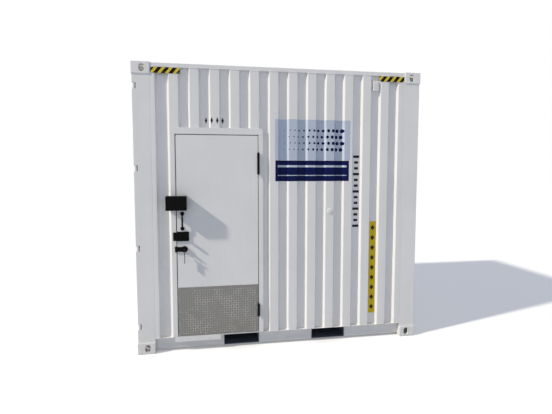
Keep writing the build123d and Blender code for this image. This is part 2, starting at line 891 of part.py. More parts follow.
hinge_feet = [lower_hinge_foot, upper_hinge_foot]
hinge_lengths = [lower_hinge_length, upper_hinge_length]

with BuildPart() as hinge_frame_halves:
    for hinge_foot, hinge_length in zip(hinge_feet, hinge_lengths):
        with BuildSketch(Plane.XY.offset(hinge_foot)):
            with Locations((hinge_x, hinge_y)):
                Circle(hinge_radius)
            with Locations((opening_right, hinge_y)):
                Rectangle(hinge_plate, hinge_plate_depth, align=(Align.MAX, Align.MIN))
        extrude(amount=hinge_length / 2)
        with BuildSketch(Plane.XY.offset(hinge_foot)):
            with Locations((hinge_x, hinge_y)):
                Circle(hinge_pin_radius)
        extrude(amount=hinge_length)
hinge_frame_halves.part.label = "hinge_frame_halves"
export_step(hinge_frame_halves.part, "parts/hinge_frame_halves.step")

with BuildPart() as hinge_door_halves:
    for hinge_foot, hinge_length in zip(hinge_feet, hinge_lengths):
        with BuildSketch(Plane.XY.offset(hinge_foot + hinge_length / 2 + swing_gap)):
            with Locations((hinge_x, hinge_y)):
                Circle(hinge_radius)
            with Locations((leaf_right, hinge_y)):
                Rectangle(hinge_plate, hinge_plate_depth, align=(Align.MIN, Align.MIN))
            with Locations((hinge_x, hinge_y)):
                Circle(hinge_pin_radius + pin_gap, mode=Mode.SUBTRACT)
        extrude(amount=hinge_length / 2 - swing_gap)
hinge_door_halves.part.label = "hinge_door_halves"
export_step(hinge_door_halves.part, "parts/hinge_door_halves.step")

# Lock box on the leaf, over a staple on the frame

box_right = leaf_left + box_on_leaf
box_left = box_right - box_width
box_top = box_foot + box_height
staple_middle = box_foot + box_height / 2

with BuildPart() as lock_box:
    with BuildSketch(Plane.XZ.offset(-y_face)):
        with Locations((box_left, box_foot)):
            Rectangle(box_width, box_height, align=(Align.MIN, Align.MIN))
    extrude(amount=box_depth)
    with BuildSketch(Plane.XZ.offset(-y_face)):
        with Locations((box_left + box_sheet, box_foot)):
            Rectangle(box_width - 2 * box_sheet, box_height - box_sheet, align=(Align.MIN, Align.MIN))
    extrude(amount=box_depth - box_sheet, mode=Mode.SUBTRACT)
    with BuildSketch(Plane.XZ.offset(-y_face)):
        with Locations((leaf_left, box_foot)):
            Rectangle(box_width, box_height, align=(Align.MAX, Align.MIN))
    extrude(amount=box_relief, mode=Mode.SUBTRACT)
    with BuildSketch(Plane.XZ.offset(-y_face)):
        with Locations((leaf_left + staple_edge_gap, staple_middle)):
            Rectangle(staple_thickness, staple_height, align=(Align.MIN, Align.CENTER))
        with Locations((leaf_left + staple_edge_gap, staple_middle - staple_height / 2)):
            Rectangle(box_right - leaf_left - staple_edge_gap, staple_base, align=(Align.MIN, Align.MIN))
    extrude(amount=staple_reach)
    with BuildSketch(Plane.YZ.offset(leaf_left)):
        with Locations((y_face - staple_reach + staple_height / 2, staple_middle)):
            Circle(staple_hole_radius)
    extrude(amount=staple_edge_gap + staple_thickness, mode=Mode.SUBTRACT)
lock_box.part.label = "lock_box"
export_step(lock_box.part, "parts/lock_box.step")

with BuildPart() as lock_staple:
    with BuildSketch(Plane.XZ.offset(-y_face)):
        with Locations((opening_left - staple_edge_gap, staple_middle)):
            Rectangle(staple_thickness, staple_height, align=(Align.MAX, Align.CENTER))
    extrude(amount=staple_reach)
    with BuildSketch(Plane.XZ.offset(-y_face)):
        with Locations((opening_left - staple_edge_gap, staple_middle)):
            Rectangle(staple_height, staple_height, align=(Align.MAX, Align.CENTER))
    extrude(amount=staple_base)
    with BuildSketch(Plane.YZ.offset(opening_left)):
        with Locations((y_face - staple_reach + staple_height / 2, staple_middle)):
            Circle(staple_hole_radius)
    extrude(amount=-(staple_edge_gap + staple_thickness), mode=Mode.SUBTRACT)
lock_staple.part.label = "lock_staple"
export_step(lock_staple.part, "parts/lock_staple.step")

pull_x = leaf_left + pull_edge_distance
pull_low = pull_middle - pull_centres / 2
pull_high = pull_middle + pull_centres / 2

with BuildPart() as pull_handles:
    for face, outward in ((y_face, -1), (leaf_back, 1)):
        with BuildLine() as grip_path:
            FilletPolyline(
                (pull_x, face, pull_low),
                (pull_x, face + outward * pull_stand_off, pull_low),
                (pull_x, face + outward * pull_stand_off, pull_high),
                (pull_x, face, pull_high),
                radius=pull_bend,
            )
        with BuildSketch(Plane.XZ.offset(-face)):
            with Locations((pull_x, pull_low)):
                Circle(pull_radius)
        sweep(path=grip_path.line)
        with BuildSketch(Plane.XZ.offset(-face)):
            with Locations((pull_x, pull_low), (pull_x, pull_high)):
                Circle(rose_radius)
        extrude(amount=-outward * rose_thickness)
pull_handles.part.label = "pull_handles"
export_step(pull_handles.part, "parts/pull_handles.step")

# Rim lock with its bolt, keeper and turn knob

bolt_y_middle = y_face - rim_depth / 2

with BuildPart() as rim_lock_case:
    with BuildSketch(Plane.XZ.offset(-y_face)):
        with Locations((rim_right, rim_foot)):
            Rectangle(rim_width, rim_height, align=(Align.MAX, Align.MIN))
    extrude(amount=rim_depth)
    chamfer(rim_lock_case.faces().sort_by(Axis.Y)[0].edges(), length=rim_corner)
    with BuildSketch(Plane.YZ.offset(rim_left)):
        with Locations((bolt_y_middle, bolt_level)):
            Rectangle(bolt_y + 2 * slide_gap, bolt_z + 2 * slide_gap)
    extrude(amount=bolt_recess + bolt_length + slide_gap, mode=Mode.SUBTRACT)
    with BuildSketch(Plane.XZ.offset(-y_face)):
        with Locations((knob_x, knob_level)):
            Circle(spindle_radius + pin_gap)
    extrude(amount=rim_depth, mode=Mode.SUBTRACT)
rim_lock_case.part.label = "rim_lock_case"
export_step(rim_lock_case.part, "parts/rim_lock_case.step")

with BuildPart() as rim_lock_bolt:
    with BuildSketch(Plane.YZ.offset(rim_left + bolt_recess)):
        with Locations((bolt_y_middle, bolt_level)):
            Rectangle(bolt_y, bolt_z)
    extrude(amount=bolt_length)
rim_lock_bolt.part.label = "rim_lock_bolt"
export_step(rim_lock_bolt.part, "parts/rim_lock_bolt.step")

knob_face = y_face - rim_depth - swing_gap
knob_length = knob_reach - rim_depth - swing_gap - knob_base

with BuildPart() as turn_knob:
    with BuildSketch(Plane.XZ.offset(-knob_face + knob_base)):
        with Locations((knob_x, knob_level)):
            Circle(knob_radius)
    extrude(amount=knob_length)
    fillet(turn_knob.faces().sort_by(Axis.Y)[0].edges(), radius=knob_tip)
    with BuildSketch(Plane.XZ.offset(-knob_face)):
        with Locations((knob_x, knob_level)):
            Circle(knob_base_radius)
    extrude(amount=knob_base)
    with BuildSketch(Plane.XZ.offset(-(leaf_back + swing_gap))):
        with Locations((knob_x, knob_level)):
            Circle(spindle_radius)
    extrude(amount=leaf_back + swing_gap - knob_face)
    with BuildSketch(Plane.XZ.offset(-(leaf_back + swing_gap))):
        with Locations((knob_x, knob_level)):
            SlotOverall(turn_bar, turn_bar_width, rotation=90)
    extrude(amount=-turn_reach)
turn_knob.part.label = "turn_knob"
export_step(turn_knob.part, "parts/turn_knob.step")

latch_y_middle = y_face - latch_depth / 2
keeper_right = opening_left + keeper_overhang


def strap_keeper(middle, width, height, depth, bolt_thickness, bolt_height, bolt_offset, way_level):
    """Keeper on the frame: two cheeks with the bolt's way between them, under one cover plate."""
    cover_start = bolt_offset + bolt_thickness / 2 + keeper_slack
    half_way = bolt_height / 2 + keeper_slack
    upper_cheek = middle + height / 2 - way_level - half_way
    lower_cheek = way_level - half_way - middle + height / 2
    with BuildPart() as keeper:
        with BuildSketch(Plane.XZ.offset(-y_face)):
            with Locations((keeper_right, middle + height / 2)):
                Rectangle(width, upper_cheek, align=(Align.MAX, Align.MAX))
            with Locations((keeper_right, middle - height / 2)):
                Rectangle(width, lower_cheek, align=(Align.MAX, Align.MIN))
        extrude(amount=cover_start - weld_gap)
        with BuildSketch(Plane.XZ.offset(-y_face + cover_start)):
            with Locations((keeper_right, middle)):
                Rectangle(width, height, align=(Align.MAX, Align.CENTER))
        extrude(amount=depth - cover_start)
    return keeper.part


with BuildPart() as lock_keepers:
    add(
        strap_keeper(
            rim_middle,
            rim_keeper_width,
            rim_keeper_height,
            rim_keeper_depth,
            bolt_y,
            bolt_z,
            rim_depth / 2,
            bolt_level,
        )
    )
    add(
        strap_keeper(
            latch_level,
            latch_keeper_width,
            latch_keeper_height,
            latch_keeper_depth,
            latch_bolt_y,
            latch_bolt_z,
            latch_depth / 2,
            latch_level,
        )
    )
lock_keepers.part.label = "lock_keepers"
export_step(lock_keepers.part, "parts/lock_keepers.step")

# Latch with its knob, key and hanging tag

latch_knob_face = y_face - latch_depth - swing_gap
barrel_face = latch_knob_face - latch_knob_depth
key_face = barrel_face - latch_barrel

with BuildPart() as latch_case:
    with BuildSketch(Plane.XZ.offset(-y_face)):
        with Locations((rim_left, latch_level)):
            Rectangle(latch_reach, latch_plate, align=(Align.MIN, Align.CENTER))
        with Locations((latch_x, latch_level)):
            Circle(latch_radius)
    extrude(amount=latch_depth)
    with BuildSketch(Plane.YZ.offset(rim_left)):
        with Locations((latch_y_middle, latch_level)):
            Rectangle(latch_bolt_y + 2 * slide_gap, latch_bolt_z + 2 * slide_gap)
    extrude(amount=bolt_recess + latch_bolt_length + slide_gap, mode=Mode.SUBTRACT)
    with BuildSketch(Plane.XZ.offset(-(y_face - latch_depth))):
        with Locations((latch_x, latch_level)):
            Circle(latch_spindle_radius + pin_gap)
    extrude(amount=-(latch_spindle_length + swing_gap), mode=Mode.SUBTRACT)
latch_case.part.label = "latch_case"
export_step(latch_case.part, "parts/latch_case.step")

with BuildPart() as latch_bolt:
    with BuildSketch(Plane.YZ.offset(rim_left + bolt_recess)):
        with Locations((latch_y_middle, latch_level)):
            Rectangle(latch_bolt_y, latch_bolt_z)
    extrude(amount=latch_bolt_length)
latch_bolt.part.label = "latch_bolt"
export_step(latch_bolt.part, "parts/latch_bolt.step")

with BuildPart() as latch_knob:
    with BuildSketch(Plane.XZ.offset(-latch_knob_face)):
        with Locations((latch_x, latch_level)):
            Circle(latch_knob_radius)
    extrude(amount=latch_knob_depth)
    chamfer(latch_knob.faces().sort_by(Axis.Y)[0].edges(), length=latch_knob_edge)
    with BuildSketch(Plane.XZ.offset(-latch_knob_face)):
        with Locations((latch_x, latch_level)):
            Circle(latch_spindle_radius)
    extrude(amount=-latch_spindle_length)
    with BuildSketch(Plane.XZ.offset(-barrel_face)):
        with Locations((latch_x, latch_level)):
            Circle(latch_barrel_radius)
    extrude(amount=latch_barrel)
    with BuildSketch(Plane.XZ.offset(-key_face)):
        with Locations((latch_x, latch_level)):
            Circle(key_neck_radius)
    extrude(amount=key_neck)
    with BuildSketch(Plane.YZ.offset(latch_x - key_bow_thickness / 2)):
        with Locations((key_face - key_neck - key_bow_radius + key_bow_lap, latch_level)):
            Circle(key_bow_radius)
            Circle(key_hole_radius, mode=Mode.SUBTRACT)
    extrude(amount=key_bow_thickness)
latch_knob.part.label = "latch_knob"
export_step(latch_knob.part, "parts/latch_knob.step")

ring_outer = key_neck_radius + slide_gap + tag_ring_width
ring_face = key_face - (key_neck - tag_ring_thickness) / 2

with BuildPart() as key_tag:
    with BuildSketch(Plane.XZ.offset(-ring_face)):
        with Locations((latch_x, latch_level)):
            Circle(ring_outer)
        with Locations((latch_x, latch_level)):
            Rectangle(tag_thickness, tag_drop + tag_ring_width, align=(Align.CENTER, Align.MAX))
        with Locations((latch_x, latch_level)):
            Circle(key_neck_radius + slide_gap, mode=Mode.SUBTRACT)
    extrude(amount=tag_ring_thickness)
    with BuildSketch(Plane.YZ.offset(latch_x - tag_thickness / 2)):
        with Locations((ring_face - tag_ring_thickness / 2, latch_level - tag_drop)):
            Rectangle(tag_width, tag_length, align=(Align.CENTER, Align.MAX))
            Rectangle(tag_head_width, tag_head_height, align=(Align.CENTER, Align.MAX))
    extrude(amount=tag_thickness)
key_tag.part.label = "key_tag"
export_step(key_tag.part, "parts/key_tag.step")

# Cargo leaves at the door end, with their gaskets, hinge pins and straps

leaf_hinge_edge = post_face + cargo_edge_gap
leaf_meeting_edge = -cargo_centre_gap / 2
leaf_low = sill_top + cargo_end_gap
leaf_high = post_top - cargo_end_gap
panel_low = leaf_low + leaf_rail_width
panel_high = leaf_high - leaf_rail_width
panel_start = leaf_hinge_edge + stile_width
panel_end = leaf_meeting_edge - stile_width
knuckle_height = slot_height - 2 * lug_thickness - 2 * swing_gap
panel_recesses = even_recesses(
    panel_low + leaf_panel_margin,
    panel_high - leaf_panel_margin,
    leaf_panel_count,
    leaf_panel_floor + 2 * leaf_panel_slope,
)
panel_crests = []
for lower, upper in zip(panel_recesses[:-1], panel_recesses[1:]):
    panel_crests.append((lower[1] + upper[0]) / 2)

with BuildPart() as cargo_leaf_front:
    with BuildSketch(Plane.XY.offset(leaf_low)):
        with Locations((x_leaf, leaf_hinge_edge), (x_leaf, panel_end)):
            Rectangle(cargo_leaf_thickness, stile_width, align=(Align.MIN, Align.MIN))
        offset(amount=-leaf_frame_wall, kind=Kind.INTERSECTION, mode=Mode.SUBTRACT)
    extrude(amount=leaf_high - leaf_low)
    with BuildSketch(Plane.XZ.offset(-panel_start)):
        with Locations((x_leaf, leaf_low), (x_leaf, panel_high)):
            Rectangle(cargo_leaf_thickness, leaf_rail_width, align=(Align.MIN, Align.MIN))
        with Locations(
            (x_leaf + leaf_frame_wall, leaf_low + leaf_frame_wall),
            (x_leaf + leaf_frame_wall, panel_high + leaf_frame_wall),
        ):
            Rectangle(
                cargo_leaf_thickness,
                leaf_rail_width - 2 * leaf_frame_wall,
                align=(Align.MIN, Align.MIN),
                mode=Mode.SUBTRACT,
            )
    extrude(amount=-(panel_end - panel_start))
    with BuildSketch(Plane.XZ.offset(-panel_start)):
        with BuildLine():
            outline = pressed_sheet(panel_low, panel_high, panel_recesses, leaf_panel_slope, leaf_panel_depth)
            Polyline(*[(x_leaf + inward, along) for along, inward in outline], close=True)
        make_face()
    extrude(amount=-(panel_end - panel_start))
    with BuildSketch(*[Plane.XY.offset(foot + lug_thickness + swing_gap) for foot in slot_feet]):
        with Locations((x_leaf, -cargo_pin_y)):
            Rectangle(strap_thickness, strap_length, align=(Align.MAX, Align.MIN))
        with Locations((cargo_pin_x, -cargo_pin_y)):
            Circle(knuckle_radius)
            Circle(cargo_pin_radius + pin_gap, mode=Mode.SUBTRACT)
    extrude(amount=knuckle_height)
cargo_leaf_front.part.label = "cargo_leaf_front"
export_step(cargo_leaf_front.part, "parts/cargo_leaf_front.step")

with BuildPart() as cargo_leaf_rear:
    mirror(cargo_leaf_front.part, about=Plane.XZ)
cargo_leaf_rear.part.label = "cargo_leaf_rear"
export_step(cargo_leaf_rear.part, "parts/cargo_leaf_rear.step")

gasket_span = leaf_meeting_edge - leaf_hinge_edge - 2 * gasket_inset
gasket_rise = leaf_high - leaf_low - 2 * gasket_inset

with BuildPart() as cargo_gasket_front:
    with BuildSketch(Plane.YZ.offset(x_leaf_back)):
        with Locations((leaf_hinge_edge + gasket_inset, leaf_low + gasket_inset)):
            Rectangle(gasket_span, gasket_rise, align=(Align.MIN, Align.MIN))
        offset(amount=-gasket_width, kind=Kind.INTERSECTION, mode=Mode.SUBTRACT)
    extrude(amount=gasket_thickness)
cargo_gasket_front.part.label = "cargo_gasket_front"
export_step(cargo_gasket_front.part, "parts/cargo_gasket_front.step")

with BuildPart() as cargo_gasket_rear:
    mirror(cargo_gasket_front.part, about=Plane.XZ)
cargo_gasket_rear.part.label = "cargo_gasket_rear"
export_step(cargo_gasket_rear.part, "parts/cargo_gasket_rear.step")

with BuildPart() as cargo_hinge_pins:
    with BuildSketch(*[Plane.XY.offset(slot_foot) for slot_foot in slot_feet]):
        with Locations((cargo_pin_x, -cargo_pin_y), (cargo_pin_x, cargo_pin_y)):
            Circle(cargo_pin_radius)
    extrude(amount=slot_height)
cargo_hinge_pins.part.label = "cargo_hinge_pins"
export_step(cargo_hinge_pins.part, "parts/cargo_hinge_pins.step")

# Locking gear of the cargo leaves

rod_x = x_leaf - rod_stand_off
rod_head = z_roof - (rod_foot - sill_foot)
cam_feet = [rod_foot, rod_head - cam_height]
guide_levels = [
    leaf_low + leaf_rail_width / 2,
    panel_crests[0],
    panel_crests[-2],
    leaf_high - leaf_rail_width / 2,
]
guide_feet = [level - guide_height / 2 for level in guide_levels]
handle_outer_level = panel_crests[1] - handle_spacing / 2
handle_inner_level = panel_crests[1] + handle_spacing / 2


def lock_rod(place, level, side):
    """Rod with a cam at each end and a hub, and its handle bar, which points to side in Y."""
    with BuildPart() as rod:
        with BuildSketch(Plane.XY.offset(rod_foot)):
            with Locations((rod_x, place)):
                Circle(rod_radius)
        extrude(amount=rod_head - rod_foot)
        with BuildSketch(*[Plane.XY.offset(cam_foot) for cam_foot in cam_feet]):
            with Locations((rod_x, place)):
                Circle(cam_radius)
            with Locations((rod_x, place + side * cam_nose_reach / 2)):
                SlotOverall(cam_nose_reach, 2 * cam_nose_radius, rotation=90)
        extrude(amount=cam_height)
        with BuildSketch(Plane.XY.offset(level - hub_height / 2)):
            with Locations((rod_x, place)):
                Circle(hub_radius)
        extrude(amount=hub_height)
        with BuildSketch(Plane.YZ.offset(rod_x - handle_thickness / 2)):
            with Locations((place + side * (hub_radius + weld_gap + handle_length / 2), level)):
                RectangleRounded(handle_length, handle_height, handle_corner)
        extrude(amount=handle_thickness)
    return rod.part


with BuildPart() as lock_rod_front_outer:
    add(lock_rod(-rod_outer_place, handle_outer_level, 1))
lock_rod_front_outer.part.label = "lock_rod_front_outer"
export_step(lock_rod_front_outer.part, "parts/lock_rod_front_outer.step")

with BuildPart() as lock_rod_front_inner:
    add(lock_rod(-rod_inner_place, handle_inner_level, -1))
lock_rod_front_inner.part.label = "lock_rod_front_inner"
export_step(lock_rod_front_inner.part, "parts/lock_rod_front_inner.step")

with BuildPart() as lock_rod_rear_inner:
    add(lock_rod(rod_inner_place, handle_inner_level, 1))
lock_rod_rear_inner.part.label = "lock_rod_rear_inner"
export_step(lock_rod_rear_inner.part, "parts/lock_rod_rear_inner.step")

with BuildPart() as lock_rod_rear_outer:
    add(lock_rod(rod_outer_place, handle_outer_level, -1))
lock_rod_rear_outer.part.label = "lock_rod_rear_outer"
export_step(lock_rod_rear_outer.part, "parts/lock_rod_rear_outer.step")

catch_outer = -rod_outer_place + hub_radius + handle_length - catch_length
catch_inner = -rod_inner_place - hub_radius - handle_length + catch_length
catch_width = handle_height + 2 * catch_gap

with BuildPart() as rod_guides_front:
    with BuildSketch(*[Plane.XY.offset(guide_foot) for guide_foot in guide_feet]):
        with Locations((x_leaf, -rod_outer_place), (x_leaf, -rod_inner_place)):
            Rectangle(guide_base, guide_base_width, align=(Align.MAX, Align.CENTER))
            Rectangle(rod_stand_off, 2 * (rod_radius + guide_wall), align=(Align.MAX, Align.CENTER))
        with Locations((rod_x, -rod_outer_place), (rod_x, -rod_inner_place)):
            Circle(rod_radius + guide_wall)
            Circle(rod_radius + pin_gap, mode=Mode.SUBTRACT)
    extrude(amount=guide_height)
    for catch_place, level in ((catch_outer, handle_outer_level), (catch_inner, handle_inner_level)):
        with BuildSketch(Plane.XZ.offset(-(catch_place - catch_length / 2))):
            with Locations((x_leaf, level)):
                Rectangle(catch_reach, catch_width + 2 * catch_wall, align=(Align.MAX, Align.CENTER))
            with Locations((x_leaf - catch_wall, level)):
                Rectangle(
                    catch_reach,
                    catch_width,
                    align=(Align.MAX, Align.CENTER),
                    mode=Mode.SUBTRACT,
                )
        extrude(amount=-catch_length)
rod_guides_front.part.label = "rod_guides_front"
export_step(rod_guides_front.part, "parts/rod_guides_front.step")

with BuildPart() as rod_guides_rear:
    mirror(rod_guides_front.part, about=Plane.XZ)
rod_guides_rear.part.label = "rod_guides_rear"
export_step(rod_guides_rear.part, "parts/rod_guides_rear.step")

keeper_reach = cam_nose_reach + keeper_gap
hood_width = 2 * (keeper_reach + keeper_wall)
rod_places = [-rod_outer_place, -rod_inner_place, rod_inner_place, rod_outer_place]

with BuildPart() as cam_keepers:
    for rod_place in rod_places:
        with BuildSketch(Plane.YZ.offset(x_leaf)):
            with Locations((rod_place - keeper_reach, rod_foot), (rod_place - keeper_reach, cam_feet[1])):
                Rectangle(keeper_wall, cam_height, align=(Align.MAX, Align.MIN))
            with Locations((rod_place + keeper_reach, rod_foot), (rod_place + keeper_reach, cam_feet[1])):
                Rectangle(keeper_wall, cam_height, align=(Align.MIN, Align.MIN))
            with Locations((rod_place, rod_foot - keeper_hood_gap)):
                Rectangle(hood_width, keeper_wall, align=(Align.CENTER, Align.MAX))
            with Locations((rod_place, rod_head + keeper_hood_gap)):
                Rectangle(hood_width, keeper_wall, align=(Align.CENTER, Align.MIN))
        extrude(amount=-keeper_depth)
cam_keepers.part.label = "cam_keepers"
export_step(cam_keepers.part, "parts/cam_keepers.step")

# Toilet

rim_level = floor_top + pan_height
cistern_front = y_room - cistern_depth
pan_y = cistern_front - pan_back_gap - pan_half_length
seat_y = pan_y - (pan_half_length - seat_half_length)
seat_hinge_y = seat_y + seat_half_length + seat_hinge_set_back
seat_hinge_level = rim_level + seat_hinge_rise
pin_reach = seat_hinge_spread + seat_hinge_post / 2

with BuildPart() as wc_pan:
    with BuildSketch(Plane.XY.offset(floor_top)):
        with Locations((wc_x, pan_y)):
            Ellipse(pan_foot_half_width, pan_foot_half_length)
    with BuildSketch(Plane.XY.offset(floor_top + pan_waist_height)):
        with Locations((wc_x, pan_y)):
            Ellipse(pan_waist_half_width, pan_waist_half_length)
    with BuildSketch(Plane.XY.offset(rim_level - pan_rim_height)):
        with Locations((wc_x, pan_y)):
            Ellipse(pan_half_width, pan_half_length)
    loft()
    with BuildSketch(Plane.XY.offset(rim_level - pan_rim_height)):
        with Locations((wc_x, pan_y)):
            Ellipse(pan_half_width, pan_half_length)
    extrude(amount=pan_rim_height)
    with BuildSketch(Plane.XY.offset(rim_level - shelf_thickness)):
        with Locations((wc_x, pan_y + bowl_half_length)):
            Rectangle(shelf_width, y_room - pan_y - bowl_half_length, align=(Align.CENTER, Align.MIN))
    extrude(amount=shelf_thickness)
    with BuildSketch(Plane.XY.offset(rim_level)):
        with Locations((wc_x, seat_y)):
            Ellipse(bowl_half_width, bowl_half_length)
    with BuildSketch(Plane.XY.offset(rim_level - bowl_depth)):
        with Locations((wc_x, seat_y)):
            Ellipse(bowl_sump, bowl_sump)
    loft(mode=Mode.SUBTRACT)
wc_pan.part.label = "wc_pan"
export_step(wc_pan.part, "parts/wc_pan.step")

cover_foot = rim_level + cistern_height
cover_top = cover_foot + cistern_cover

with BuildPart() as wc_cistern:
    with BuildSketch(Plane.XY.offset(rim_level)):
        with Locations((wc_x, y_room)):
            Rectangle(cistern_width, cistern_depth, align=(Align.CENTER, Align.MAX))
    extrude(amount=cistern_height)
    with BuildSketch(Plane.XY.offset(cover_foot)):
        with Locations((wc_x, y_room)):
            Rectangle(
                cistern_width + 2 * cistern_cover_proud,
                cistern_depth + cistern_cover_proud,
                align=(Align.CENTER, Align.MAX),
            )
    extrude(amount=cistern_cover)
    front_edges = wc_cistern.edges().filter_by(Axis.Z).group_by(Axis.Y)[:-1]
    fillet([edge for group in front_edges for edge in group], radius=cistern_corner)
    with BuildSketch(Plane.XY.offset(cover_top)):
        with Locations((wc_x, y_room - cistern_depth / 2)):
            Circle(button_radius + slide_gap)
    extrude(amount=-(button_height - button_proud + button_travel + slide_gap), mode=Mode.SUBTRACT)
wc_cistern.part.label = "wc_cistern"
export_step(wc_cistern.part, "parts/wc_cistern.step")

with BuildPart() as flush_button:
    with BuildSketch(Plane.XY.offset(cover_top + button_proud - button_height)):
        with Locations((wc_x, y_room - cistern_depth / 2)):
            Circle(button_radius)
    extrude(amount=button_height)
    fillet(flush_button.faces().sort_by(Axis.Z)[-1].edges(), radius=button_edge)
flush_button.part.label = "flush_button"
export_step(flush_button.part, "parts/flush_button.step")

with BuildPart() as seat_hinge:
    with BuildSketch(Plane.XY.offset(rim_level)):
        with Locations((wc_x - seat_hinge_spread, seat_hinge_y), (wc_x + seat_hinge_spread, seat_hinge_y)):
            Rectangle(seat_hinge_post, seat_hinge_post)
    extrude(amount=seat_hinge_rise + seat_hinge_post / 2)
    with BuildSketch(Plane.YZ.offset(wc_x - pin_reach)):
        with Locations((seat_hinge_y, seat_hinge_level)):
            Circle(seat_hinge_radius + pin_gap)
    extrude(amount=2 * pin_reach, mode=Mode.SUBTRACT)
seat_hinge.part.label = "seat_hinge"
export_step(seat_hinge.part, "parts/seat_hinge.step")

seat_arm_width = 2 * (seat_hinge_spread - seat_hinge_post / 2 - swing_gap)

with BuildPart() as wc_seat:
    with BuildSketch(Plane.XY.offset(rim_level + swing_gap)):
        with Locations((wc_x, seat_y)):
            Ellipse(pan_half_width, seat_half_length)
        with Locations((wc_x, seat_y)):
            Rectangle(seat_arm_width, seat_hinge_y - seat_y, align=(Align.CENTER, Align.MIN))
        with Locations((wc_x, seat_y)):
            Ellipse(bowl_half_width - seat_lap, bowl_half_length - seat_lap, mode=Mode.SUBTRACT)
    extrude(amount=seat_thickness)
    with BuildSketch(Plane.YZ.offset(wc_x - seat_arm_width / 2)):
        with Locations((seat_hinge_y, seat_hinge_level)):
            Circle(seat_hinge_barrel)
    extrude(amount=seat_arm_width)
    with BuildSketch(Plane.YZ.offset(wc_x - pin_reach)):
        with Locations((seat_hinge_y, seat_hinge_level)):
            Circle(seat_hinge_radius)
    extrude(amount=2 * pin_reach)
wc_seat.part.label = "wc_seat"
export_step(wc_seat.part, "parts/wc_seat.step")

# Wash place and lamp

basin_top = floor_top + basin_rim
bowl_reach = basin_reach - basin_ledge - basin_wall
bowl_y = y_room - basin_ledge - bowl_reach / 2
tap_y = y_room - basin_ledge / 2

with BuildPart() as basin:
    with BuildSketch(Plane.XY.offset(basin_top)):
        with Locations((basin_x, y_room - basin_reach / 2)):
            Rectangle(basin_width, basin_reach)
    with BuildSketch(Plane.XY.offset(basin_top - basin_height)):
        with Locations((basin_x, y_room - basin_foot_reach / 2)):
            Rectangle(basin_foot_width, basin_foot_reach)
    loft()
    sloping_edges = basin.edges().filter_by(Axis.X, reverse=True).filter_by(Axis.Y, reverse=True)
    fillet(sloping_edges.sort_by(Axis.Y)[:2], radius=basin_corner)
    with BuildSketch(Plane.XY.offset(basin_top)):
        with Locations((basin_x, bowl_y)):
            RectangleRounded(basin_width - 2 * basin_wall, bowl_reach, basin_corner)
    extrude(amount=-basin_bowl_depth, taper=basin_bowl_taper, mode=Mode.SUBTRACT)
basin.part.label = "basin"
export_step(basin.part, "parts/basin.step")

tap_top = basin_top + tap_height
trap_head = basin_top - basin_height

with BuildPart() as basin_fittings:
    with BuildSketch(Plane.XY.offset(basin_top)):
        with Locations((basin_x, tap_y)):
            Circle(tap_radius)
    extrude(amount=tap_height)
    with BuildSketch(Plane.XZ.offset(-tap_y)):
        with Locations((basin_x, basin_top + spout_level)):
            Circle(spout_radius)
    extrude(amount=spout_reach)
    with BuildSketch(Plane.XY.offset(tap_top)):
        with Locations((basin_x, tap_y)):
            Circle(tap_pivot_radius + pin_gap)
    extrude(amount=-(tap_pivot_height + swing_gap), mode=Mode.SUBTRACT)
    with BuildSketch(Plane.XY.offset(trap_head)):
        with Locations((basin_x, bowl_y)):
            Circle(trap_tail_radius)
    extrude(amount=-trap_tail)
    with BuildSketch(Plane.XY.offset(trap_head - trap_tail)):
        with Locations((basin_x, bowl_y)):
            Circle(trap_bottle_radius)
    extrude(amount=-trap_bottle)
    with BuildSketch(Plane.XZ.offset(-bowl_y)):
        with Locations((basin_x, trap_head - trap_tail - trap_outlet_drop)):
            Circle(trap_tail_radius)
    extrude(amount=-(y_room - bowl_y))
basin_fittings.part.label = "basin_fittings"
export_step(basin_fittings.part, "parts/basin_fittings.step")

with BuildPart() as tap_lever:
    with BuildSketch(Plane.XY.offset(tap_top + swing_gap)):
        with Locations((basin_x, tap_y)):
            Circle(tap_radius)
    extrude(amount=tap_cap_height)
    with BuildSketch(Plane.XY.offset(tap_top + swing_gap + tap_cap_height - tap_lever_thickness)):
        with Locations((basin_x, tap_y)):
            Rectangle(tap_lever_width, tap_lever_length, align=(Align.CENTER, Align.MAX))
    extrude(amount=tap_lever_thickness)
    with BuildSketch(Plane.XY.offset(tap_top - tap_pivot_height)):
        with Locations((basin_x, tap_y)):
            Circle(tap_pivot_radius)
    extrude(amount=tap_pivot_height + swing_gap)
tap_lever.part.label = "tap_lever"
export_step(tap_lever.part, "parts/tap_lever.step")

with BuildPart() as mirror_glass:
    with BuildSketch(Plane.XZ.offset(-y_room)):
        with Locations((basin_x, floor_top + mirror_foot)):
            Rectangle(mirror_width, mirror_height, align=(Align.CENTER, Align.MIN))
    extrude(amount=mirror_thickness)
    chamfer(mirror_glass.faces().sort_by(Axis.Y)[0].edges(), length=mirror_bevel)
mirror_glass.part.label = "mirror_glass"
export_step(mirror_glass.part, "parts/mirror_glass.step")

with BuildPart() as light_fitting:
    with BuildSketch(Plane.XY.offset(ceiling_foot)):
        with Locations(((x_partition + x_room) / 2, 0)):
            Rectangle(lamp_length, lamp_width)
    extrude(amount=-lamp_height)
    fillet(light_fitting.faces().sort_by(Axis.Z)[0].edges(), radius=lamp_corner)
light_fitting.part.label = "light_fitting"
export_step(light_fitting.part, "parts/light_fitting.step")
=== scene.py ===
import json
from math import pi, radians

